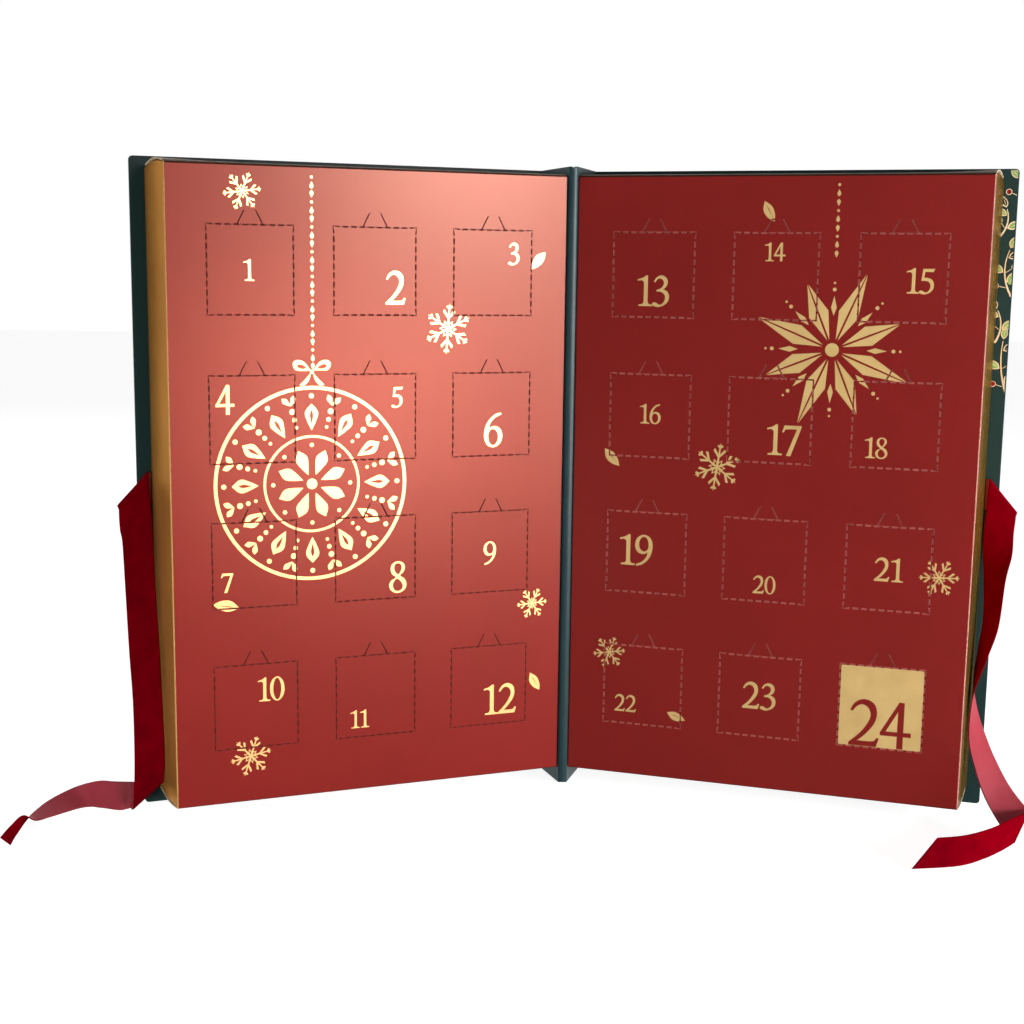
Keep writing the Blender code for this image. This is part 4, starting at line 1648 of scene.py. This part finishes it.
@dataclass(frozen=True)
class Sprig:
    """One printed twig in millimetres: its root, the way it grows, its bend, and what it bears.

    The heading, the bend and the turns of the leaves and berries are in degrees. Every third leaf is drawn
    as an outline only. A stalk is as long as its share of a leaf.
    """

    x: float
    z: float
    heading: float
    length: float
    bend: float
    leaves: int = 6
    leaf_length: float = 8.0
    berries: int = 0
    stem: float = 1.1
    leaf_turn: float = 44
    leaf_turn_step: float = 6
    leaf_gap: float = 0.35
    stalk_share: float = 0.42
    stalk_half: float = 0.16
    berry_turn: float = 58
    berry_gap: float = 1.7
    ring_radius: float = 1.6
    berry_radius: float = 1.25

    def spot(self, share: float) -> tuple[Vector, float]:
        """A place on the stem's arc.

        Args:
            share: The share of the stem's length.

        Returns:
            The place and the stem's heading there, in radians.
        """
        start, turn = math.radians(self.heading), math.radians(self.bend)
        now, radius = start + turn * share, self.length / turn
        x = self.x + radius * (math.sin(now) - math.sin(start))
        z = self.z - radius * (math.cos(now) - math.cos(start))
        return Vector((x, z)), now

    def outlines(self) -> Drawing:
        """The twig's outlines by ink.

        Returns:
            Its gold lines, its leaves and its berries.
        """
        found: Drawing = {Ink.LINES: [self.stem_outline()], Ink.LEAVES: [], Ink.BERRIES: []}
        for k in range(self.leaves + 1):
            share = min(1.0, (k + 1) / (self.leaves + 0.6))
            place, heading = self.spot(share)
            tip, side = k == self.leaves, 1 if k % 2 else -1
            spread = math.radians(self.leaf_turn + self.leaf_turn_step * (k % 3))
            turn = heading if tip else heading + side * spread
            gap = self.stem * 0.5 + self.leaf_gap
            root = place + Vector((math.cos(turn), math.sin(turn))) * gap
            self.add_leaf(found, root, turn, self.leaf_length * (1 - 0.3 * share), k % 3 != 2)
            if k < self.berries:
                self.add_berry(found, place, heading - side * math.radians(self.berry_turn), gap)
        return found

    def stem_outline(self) -> Outline:
        """The stem, tapered to its tip.

        Returns:
            Its closed outline.
        """
        shares = [k / 8 for k in range(9)]
        sides: tuple[Outline, Outline] = ([], [])
        for share in shares:
            place, heading = self.spot(share)
            across = Vector((-math.sin(heading), math.cos(heading))) * self.stem * (0.5 - 0.32 * share)
            sides[0].append(tuple(place + across))
            sides[1].append(tuple(place - across))
        return sides[0] + list(reversed(sides[1]))

    @staticmethod
    def add_leaf(found: Drawing, root: Vector, turn: float, length: float, filled: bool) -> None:
        """Adds a pointed leaf with a gold rim and midrib.

        Args:
            found: The outlines that it is added to.
            root: The leaf's root.
            turn: The direction of its tip, in radians.
            length: Its length.
            filled: Whether it is filled with green or left open.
        """
        blade = ((0, 0, 1), (0.26, 0.23), (0.58, 0.25), (1, 0, 1), (0.58, -0.21), (0.26, -0.21))
        rib = [(0.14, 0.0), (0.5, 0.03), (0.78, 0.0), (0.5, -0.03)]
        outer = smooth_outline(blade, 4)
        inner = [(0.1 + x * 0.79, y * 0.74) for x, y in outer]
        whole, core, line = (turned(part, turn, *root, length) for part in (outer, inner, rib))
        found[Ink.LINES] += [whole, core, line]
        if filled:
            found[Ink.LEAVES] += [core, line]

    def add_berry(self, found: Drawing, place: Vector, turn: float, gap: float) -> None:
        """Adds a berry with a gold ring on a short stalk.

        Args:
            found: The outlines that it is added to.
            place: The stalk's root on the stem.
            turn: The stalk's direction, in radians.
            gap: How far from the root the stalk begins.
        """
        reach, half = self.leaf_length * self.stalk_share, self.stalk_half
        stalk = turned([(gap, -half), (reach, -half), (reach, half), (gap, half)], turn, *place)
        middle = place + Vector((math.cos(turn), math.sin(turn))) * (reach + self.berry_gap)
        berry = circle(*middle, self.berry_radius)
        found[Ink.LINES] += [stalk, circle(*middle, self.ring_radius), berry]
        found[Ink.BERRIES].append(berry)


# Twigs on the right cover's printed turn-in, of the height and width that show beside the carton.
CORNER_SPRIGS: tuple[Sprig, ...] = (
    Sprig(230.5, 222, 116, 34, -34, 3, 10.0, 2),
    Sprig(221.0, 254, 58, 18, 60, 2, 9.5, 1),
    Sprig(229.5, 276, 128, 28, -60, 3, 10.0, 2),
    Sprig(219.0, 308, 40, 17, 70, 2, 9.0, 1),
    Sprig(231.5, 322, 118, 22, -50, 2, 9.5, 1),
    Sprig(212.0, 346.0, 196, 44, -18, 6, 8.0, 2),
)
# Twigs on the outside of the front cover: sprays that fan out of its fore-edge corners.
FRONT_SPRIGS: tuple[Sprig, ...] = tuple(
    Sprig(226 - 9 * k, 338 - 3 * k, 188 + 17 * k, 112 - 9 * (k % 2) - 8 * k, 16 - 9 * k, 9 - k, 15.0, 3, 1.2)
    for k in range(5)
) + tuple(
    Sprig(226 - 9 * k, 8 + 3 * k, 172 - 17 * k, 96 - 9 * (k % 2) - 8 * k, 9 * k - 16, 8 - k, 15.0, 3, 1.2)
    for k in range(5)
)


@dataclass
class Cover(HalfMaker):
    """The case of one half: covered boards, mitred turn-ins and the printed sprigs.

    The seat is a share of the paper's thickness, and the hinge is where the turn-ins begin beside the
    crease. The print on the front begins at its corner, and the one on the turn-in at its foot.
    """

    paper: float = 0.00014
    seat: float = 0.45
    ink: float = 0.00003
    edge: float = 0.0006
    turn_in: float = 0.016
    mitre_gap: float = 0.00018
    hinge: float = 0.004
    print_edge: float = 0.0007
    turn_in_foot: float = 0.2
    front_corner: Point = (0.012, 0.001)

    def build(self, nodes: dict[str, bpy.types.Object]) -> None:
        """Papers the boards, adds the turn-ins, and prints the sprigs.

        Args:
            nodes: The CAD model's pieces by name.
        """
        for kind in ("cover_board", "spine_board"):
            Bench.paint(nodes[f"{self.side.word}_{kind}"], COVERING_PAPER)
        self.build_turn_ins()
        if self.side is Side.RIGHT:
            inner_front = SIZES.cover_n - self.paper - self.ink
            low = (SIZES.cover_end_s - self.turn_in, self.turn_in_foot)
            self.build_print("turn_in", CORNER_SPRIGS, inner_front, low)
            self.build_print("front", FRONT_SPRIGS, SIZES.cover_n + SIZES.board, self.front_corner)

    def build_print(self, name: str, sprigs: Sequence[Sprig], depth: float, low: Point) -> None:
        """Prints sprigs in leaf green, berry red and gold on one side of the cover.

        Args:
            name: Which print this is.
            sprigs: The twigs, in millimetres on the cover.
            depth: How deep the ink's front lies behind the crease axis.
            low: The lower corner of the printed part, in metres.
        """
        layers = ((LEAF_INK, Ink.LEAVES, 0.0), (BERRY_INK, Ink.BERRIES, 0.0), (LINE_INK, Ink.LINES, self.ink))
        high = (SIZES.cover_end_s - self.print_edge, SIZES.cover_top_z - self.print_edge)
        for finish, ink, lift in layers:
            parts = []
            for sprig in sprigs:
                outlines = [[(x * MM, z * MM) for x, z in outline] for outline in sprig.outlines()[ink]]
                if outlines:
                    parts.append(Bench.trim(Bench.flat(f"{name}_{ink.value}", outlines), low, high))
            piece = Bench.join(f"right_cover_{name}_{ink.value}", parts)
            way = -1 if depth < SIZES.cover_n else 1
            Bench.finish(piece, "SOLIDIFY", thickness=self.ink + lift, offset=0)
            Bench.settle(piece, self.frame.face_matrix(depth + way * lift / 2))
            Bench.paint(piece, finish)
            self.dress(piece, "covering_paper", self.side.body)

    def build_turn_ins(self) -> None:
        """Three strips of covering paper turned over the board's edges, mitred at the corners."""
        edge, wide, gap = self.edge, self.turn_in, self.mitre_gap
        s0, s1 = SIZES.crease_clearance + self.hinge, SIZES.cover_end_s - edge
        z0, z1 = edge, SIZES.cover_top_z - edge
        strips = (
            [(s1, z0 + gap), (s1, z1 - gap), (s1 - wide, z1 - wide - gap), (s1 - wide, z0 + wide + gap)],
            [(s0, z1), (s0, z1 - wide), (s1 - wide - gap, z1 - wide), (s1 - gap, z1)],
            [(s0, z0), (s1 - gap, z0), (s1 - wide - gap, z0 + wide), (s0, z0 + wide)],
        )
        outlines = [[(self.side.value * s, z) for s, z in strip] for strip in strips]
        piece = Bench.flat(f"{self.side.word}_cover_turn_ins", outlines, self.paper)
        Bench.settle(piece, self.frame.face_matrix(SIZES.cover_n - self.paper * self.seat))
        Bench.paint(piece, COVERING_PAPER)
        self.dress(piece, "covering_paper", self.side.body)


@dataclass
class Crease:
    """The lining paper that runs over the fold of the spine between the two cartons.

    The seat is a share of the paper's thickness, the depths are those of its points on each flank, and the
    smoothing is in degrees.
    """

    paper: float = 0.0001
    seat: float = 0.6
    edge: float = 0.0005
    depths: tuple[float, ...] = (0.0405, 0.03, 0.02, 0.012, 0.006, 0.002)
    shoulder: float = 0.0004
    ridge: float = 0.00115
    arch_steps: int = 7
    blend_s: float = 0.0005
    smoothing: float = 60

    def build(self) -> None:
        """A folded strip from the one spine board over the ridge to the other."""
        left, right = HalfFrame(Side.LEFT), HalfFrame(Side.RIGHT)
        flank_s = SIZES.crease_clearance + SIZES.board + self.paper * self.seat
        halves = []
        for frame in (right, left):
            axis, shoulder = frame.point(0, 0, 0), frame.point(flank_s, self.shoulder, 0)
            flank = [frame.point(flank_s, depth, 0) for depth in (*self.depths, self.shoulder)]
            arch = []
            for k in range(1, self.arch_steps + 1):
                angle = math.pi / 2 * k / self.arch_steps
                x = axis.x + (shoulder.x - axis.x) * math.cos(angle)
                arch.append(Vector((x, shoulder.y - self.ridge * math.sin(angle), 0)))
            halves.append(flank + arch)
        line = halves[0] + halves[1][-2::-1]
        low, high = self.edge, SIZES.cover_top_z - self.edge

        def place(u: float, v: float) -> Vector:
            """The lining's place for a share across it and a share up it."""
            spot = line[round(u * (len(line) - 1))]
            return Vector((spot.x, spot.y, low + (high - low) * v))

        lining = Bench.grid("crease_lining", len(line) - 1, 40, place)
        if sum(face.normal.y * face.area for face in lining.data.polygons) > 0:
            Bench.flip(lining)
        Bench.finish(lining, "SOLIDIFY", thickness=self.paper, offset=0)
        Bench.paint(lining, LINING_PAPER)
        Bench.smooth(lining, self.smoothing)
        left.point(self.blend_s, 0, 0)
        right.point(self.blend_s, 0, 0)
        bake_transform(lining)
        LOG.info("crease_lining bends between the halves")


# Edge pairs along each ribbon, as in the part: each edge is (s beyond the carton's back corner, n in front
# of the cover, z above the table), the first two as shares of the ribbon's width and the last as a share
# of the height at which the ribbon leaves the box.
RIBBON_SHARES: dict[Side, tuple[tuple[tuple[float, float, float], tuple[float, float, float]], ...]] = {
    Side.LEFT: (
        ((0.03, 0.02, 1.05), (0.03, 0.02, 0.955)),
        ((0.10, 0.02, 1.05), (1.03, 0.02, 0.955)),
        ((0.14, 0.10, 1.045), (1.09, 0.10, 0.935)),
        ((0.11, 0.16, 0.985), (1.08, 0.15, 0.880)),
        ((0.05, 0.22, 0.910), (1.02, 0.22, 0.835)),
        ((0.02, 0.40, 0.730), (0.98, 0.34, 0.690)),
        ((-0.02, 0.76, 0.525), (0.93, 0.52, 0.500)),
        ((-0.04, 1.00, 0.360), (0.87, 0.66, 0.345)),
        ((-0.06, 1.13, 0.175), (0.86, 0.60, 0.165)),
        ((-0.04, 1.00, 0.105), (0.90, 0.54, 0.050)),
        ((-0.01, 0.86, 0.086), (0.95, 0.56, 0.000)),
        ((0.09, 0.68, 0.084), (1.03, 0.44, 0.000)),
        ((0.81, 0.34, 0.080), (1.17, 0.50, 0.000)),
        ((1.50, 0.40, 0.090), (1.39, 0.54, 0.000)),
        ((2.03, -0.02, 0.084), (1.91, 0.14, 0.000)),
        ((2.67, -0.84, 0.046), (2.51, -0.12, 0.000)),
        ((3.53, -0.56, 0.022), (3.55, 0.41, 0.000)),
        ((4.11, 0.10, 0.008), (4.09, 1.06, 0.014)),
        ((4.43, 0.72, 0.000), (4.47, 1.32, 0.042)),
        ((4.69, 1.62, 0.000), (4.81, 1.54, 0.030)),
        ((4.95, 2.60, 0.000), (5.23, 1.88, 0.000)),
    ),
    Side.RIGHT: (
        ((0.03, 0.02, 1.05), (0.03, 0.02, 0.955)),
        ((0.12, 0.02, 1.05), (0.98, 0.02, 0.955)),
        ((0.14, 0.10, 1.045), (1.04, 0.10, 0.935)),
        ((0.08, 0.13, 0.955), (1.01, 0.15, 0.885)),
        ((0.06, 0.14, 0.840), (1.00, 0.34, 0.820)),
        ((0.15, 0.16, 0.735), (0.83, 0.74, 0.745)),
        ((0.21, 0.28, 0.610), (0.69, 1.10, 0.605)),
        ((0.10, 0.38, 0.510), (0.40, 1.34, 0.510)),
        ((0.03, 0.46, 0.405), (0.06, 1.46, 0.405)),
        ((0.21, 0.64, 0.320), (-0.04, 1.60, 0.320)),
        ((0.55, 0.96, 0.243), (0.00, 1.78, 0.243)),
        ((0.85, 1.28, 0.190), (0.23, 2.02, 0.172)),
        ((1.29, 1.66, 0.127), (0.54, 2.28, 0.101)),
        ((1.70, 2.04, 0.088), (0.90, 2.60, 0.050)),
        ((1.95, 2.36, 0.072), (1.29, 3.04, 0.012)),
        ((1.99, 2.74, 0.080), (1.55, 3.36, 0.000)),
        ((1.81, 3.14, 0.082), (1.49, 3.62, 0.000)),
        ((1.37, 3.78, 0.080), (1.12, 4.40, 0.000)),
        ((0.81, 4.58, 0.074), (0.59, 5.28, 0.000)),
        ((0.00, 5.40, 0.070), (-0.13, 6.12, 0.000)),
        ((-0.81, 5.90, 0.070), (-1.51, 6.84, 0.000)),
    ),
}


@dataclass
class Ribbon(HalfMaker):
    """A velvet ribbon with a satin back, from the fore-edge down to the table.

    The selvedge is a share of the ribbon's width, and the seat one of its thickness.
    """

    steps: int = 10
    across: int = 10
    thickness: float = 0.00055
    selvedge: float = 0.045
    seat: float = 0.75

    def edges(self) -> tuple[list[Vector], list[Vector]]:
        """The ribbon's two edges.

        Returns:
            Two smooth lists of points in the part's frame.
        """
        exit_z = SIZES.cover_top_z / 2
        corner_s = SIZES.face_end_s + SIZES.flare
        back_n = SIZES.cover_n - SIZES.ribbon_thickness / 2
        foot_z = SIZES.ribbon_thickness * self.seat

        def place(share: Sequence[float]) -> Vector:
            """One edge point from its shares."""
            s, n = corner_s + share[0] * SIZES.ribbon_width, back_n - share[1] * SIZES.ribbon_width
            return self.frame.point(s, n, foot_z + share[2] * exit_z)

        pairs = [[place(edge) for edge in pair] for pair in RIBBON_SHARES[self.side]]
        edges = []
        for which in (0, 1):
            points = [pair[which] for pair in pairs]
            padded = [points[0], *points, points[-1]]
            smooth = []
            for before, start, end, after in zip(padded, padded[1:], padded[2:], padded[3:]):
                for step in range(self.steps):
                    t = step / self.steps
                    pull_start = (end - before) * t * (1 - t) ** 2 / 2
                    pull_end = (start - after) * t * t * (1 - t) / 2
                    smooth.append(start.lerp(end, t * t * (3 - 2 * t)) + pull_start + pull_end)
            edges.append(smooth + [points[-1]])
        return edges[0], edges[1]

    def build(self) -> None:
        """The ribbon as one draped sheet, velvet on its first side and satin on its back."""
        first, second = self.edges()
        count, rim, inner = len(first), self.selvedge, self.across - 2
        between = [rim + (1 - 2 * rim) * k / inner for k in range(1, inner)]
        shares = [0.0, rim, *between, 1 - rim, 1.0]
        body = bmesh.new()
        rows = [[body.verts.new(first[k].lerp(second[k], share)) for share in shares] for k in range(count)]
        lengths = [0.0]
        for k in range(1, count):
            middle = (first[k] + second[k]) / 2 - (first[k - 1] + second[k - 1]) / 2
            lengths.append(lengths[-1] + middle.length)
        layer = body.loops.layers.uv.new("ribbon_map")
        for k in range(count - 1):
            for j in range(len(shares) - 1):
                spots = ((j, k), (j + 1, k), (j + 1, k + 1), (j, k + 1))[:: self.side.value * -1]
                face = body.faces.new([rows[b][a] for a, b in spots])
                face.smooth = True
                face.material_index = 2 if j in (0, len(shares) - 2) else 0
                for loop, (a, b) in zip(face.loops, spots):
                    loop[layer].uv = (shares[a] * SIZES.ribbon_width, lengths[b])
        mesh = bpy.data.meshes.new(f"{self.side.word}_velvet_ribbon")
        body.to_mesh(mesh)
        body.free()
        piece = bpy.data.objects.new(mesh.name, mesh)
        bpy.context.scene.collection.objects.link(piece)
        Bench.paint(piece, VELVET, SATIN, SELVEDGE)
        Bench.finish(piece, "SOLIDIFY", thickness=self.thickness, offset=0, material_offset=1)
        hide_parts(f"{self.side.word}_ribbon")
        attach(piece, self.side.body)
        area = sum((first[k] - second[k]).length * (lengths[k + 1] - lengths[k]) for k in range(count - 1))
        LOG.info("%s: %.1f mm long, %.0f mm2", piece.name, lengths[-1] / MM, area / MM / MM)


@dataclass(frozen=True)
class Lamp:
    """A softbox: its place, what it is turned to, its width and height in metres, and its power in watts."""

    name: str
    place: tuple[float, float, float]
    target: tuple[float, float, float]
    size: tuple[float, float]
    power: float
    gleam_only: bool = False
    no_gleam: bool = False
    colour: str = WHITE

    def build(self) -> None:
        """Adds the lamp, or a card that is seen only as a gleam, or a lamp with its gleam flagged off."""
        light = bpy.data.lights.new(self.name, "AREA")
        light.shape = "RECTANGLE"
        light.size, light.size_y = self.size
        light.energy = self.power
        light.color = linear(self.colour)[:3]
        lamp = bpy.data.objects.new(self.name, light)
        bpy.context.scene.collection.objects.link(lamp)
        lamp.location = self.place
        lamp.visible_camera = False
        lamp.visible_diffuse = not self.gleam_only
        lamp.visible_glossy = not self.no_gleam
        aim = Vector(self.target) - Vector(self.place)
        lamp.rotation_euler = aim.to_track_quat("-Z", "Y").to_euler()


# The softboxes, and the cards that only the film and the foil mirror.
LAMPS: tuple[Lamp, ...] = (
    Lamp("key_softbox", (0.83, -0.52, 0.17), (0.0, 0.0, 0.13), (0.4, 0.15), 12.0),
    Lamp("fill_softbox", (-1.3, -0.05, 0.5), (0.0, 0.0, 0.17), (0.6, 0.6), 5.5),
    Lamp("back_softbox", (-0.3, 1.6, 1.3), (0.0, 0.0, 0.17), (1.2, 1.0), 10.0),
    Lamp("front_softbox", (-0.42, -0.5, 0.06), (-0.2, -0.08, 0.08), (0.2, 0.1), 1.15, no_gleam=True),
    Lamp("gleam_card_high", (0.7, -0.975, 0.69), (-0.1, -0.04, 0.25), (0.26, 0.75), 58.0, gleam_only=True),
    Lamp("gleam_card_low", (0.56, -1.04, 0.12), (-0.1, -0.04, 0.1), (0.32, 0.24), 14.0,
         gleam_only=True, colour="#FFD2CA"),
)


@dataclass(frozen=True)
class Studio:
    """The pale floor, the soft light and the camera at the photograph's angle.

    The floor and the surround each have one level for what they light, and others for what is seen. The
    camera's place is in metres, its turns are in radians, and its lens and sensor in millimetres.
    """

    lens: float = 53.086
    sensor: float = 36.0
    camera_place: tuple[float, float, float] = (-0.05966, -0.82968, 0.28829)
    yaw: float = 0.03238
    pitch: float = 0.15826
    roll: float = 0.01292
    floor_size: float = 12.0
    floor_level: float = 0.7
    floor_seen_level: float = 0.42
    floor_glow: float = 0.9
    world_level: float = 0.12
    world_seen_level: float = 1.0

    def build(self) -> None:
        """Builds the whole studio."""
        self.build_camera()
        self.build_floor()
        self.build_world()
        for lamp in LAMPS:
            lamp.build()
        bpy.context.scene.view_settings.view_transform = "Standard"

    def build_camera(self) -> None:
        """The camera that matches the photograph's frame of 1024 by 1024."""
        flat = math.cos(self.pitch)
        ahead = Vector((math.sin(self.yaw) * flat, math.cos(self.yaw) * flat, -math.sin(self.pitch)))
        level = Vector((math.cos(self.yaw), -math.sin(self.yaw), 0))
        up = level.cross(ahead)
        right = level * math.cos(self.roll) + up * math.sin(self.roll)
        top = up * math.cos(self.roll) - level * math.sin(self.roll)
        data = bpy.data.cameras.new("photo_camera")
        data.sensor_width, data.lens = self.sensor, self.lens
        camera = bpy.data.objects.new("photo_camera", data)
        bpy.context.scene.collection.objects.link(camera)
        turn = Matrix((right, top, -ahead)).transposed().to_4x4()
        camera.matrix_world = Matrix.Translation(self.camera_place) @ turn
        bpy.context.scene.camera = camera

    @staticmethod
    def seen(tree: bpy.types.NodeTree) -> bpy.types.NodeSocket:
        """Adds the test for what is seen, directly, in a gleam or through something clear.

        Args:
            tree: The node tree.

        Returns:
            The output that is 1 for such a ray and 0 for one that only lights.
        """
        rays = add_node(tree, "ShaderNodeLightPath").outputs
        seen = rays["Is Camera Ray"]
        for kind in ("Is Glossy Ray", "Is Transmission Ray"):
            both = add_node(tree, "ShaderNodeMath", links={0: seen, 1: rays[kind]}, operation="MAXIMUM")
            seen = both.outputs[0]
        return seen

    def build_floor(self) -> None:
        """A pale floor that keeps the object's soft shadow and renders white to the camera."""
        Bench.pick()
        bpy.ops.mesh.primitive_plane_add(size=self.floor_size)
        floor = bpy.context.active_object
        floor.name = "studio_floor"
        made = bpy.data.materials.new("matt_white_sweep")
        made.use_nodes = True
        tree = made.node_tree
        tree.nodes.clear()
        seen = self.seen(tree)
        matt = add_node(tree, "ShaderNodeBsdfDiffuse", {"Color": (*[self.floor_level] * 3, 1)})
        pale = add_node(tree, "ShaderNodeBsdfDiffuse", {"Color": (*[self.floor_seen_level] * 3, 1)})
        glow = add_node(tree, "ShaderNodeEmission", {"Color": (1, 1, 1, 1), "Strength": self.floor_glow})
        shown = add_node(tree, "ShaderNodeAddShader", links={0: pale.outputs[0], 1: glow.outputs[0]})
        mixed = add_node(tree, "ShaderNodeMixShader",
                         links={0: seen, 1: matt.outputs[0], 2: shown.outputs[0]})
        add_node(tree, "ShaderNodeOutputMaterial", links={"Surface": mixed.outputs[0]})
        floor.data.materials.append(made)

    def build_world(self) -> None:
        """A white surround for what is seen, and a plain soft level for what it lights."""
        world = bpy.data.worlds.new("studio_world")
        bpy.context.scene.world = world
        world.use_nodes = True
        tree = world.node_tree
        tree.nodes.clear()
        seen = self.seen(tree)
        soft = add_node(
            tree, "ShaderNodeBackground", {"Color": (1, 1, 1, 1), "Strength": self.world_level}
        )
        white = add_node(
            tree, "ShaderNodeBackground", {"Color": (1, 1, 1, 1), "Strength": self.world_seen_level}
        )
        mixed = add_node(tree, "ShaderNodeMixShader",
                         links={0: seen, 1: soft.outputs[0], 2: white.outputs[0]})
        add_node(tree, "ShaderNodeOutputWorld", links={"Surface": mixed.outputs[0]})


def main() -> None:
    logging.basicConfig(level=logging.INFO, format="%(name)s: %(message)s")
    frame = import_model()
    nodes = frame["nodes"]
    for side in Side:
        Bench.paint(nodes[f"{side.word}_divider_grid"], RAW_BOARD)
        Cover(side).build(nodes)
        Carton(side).build()
        FoilArtwork(side).build()
        Ribbon(side).build()
    Crease().build()
    Studio().build()


if __name__ == "__main__":
    main()
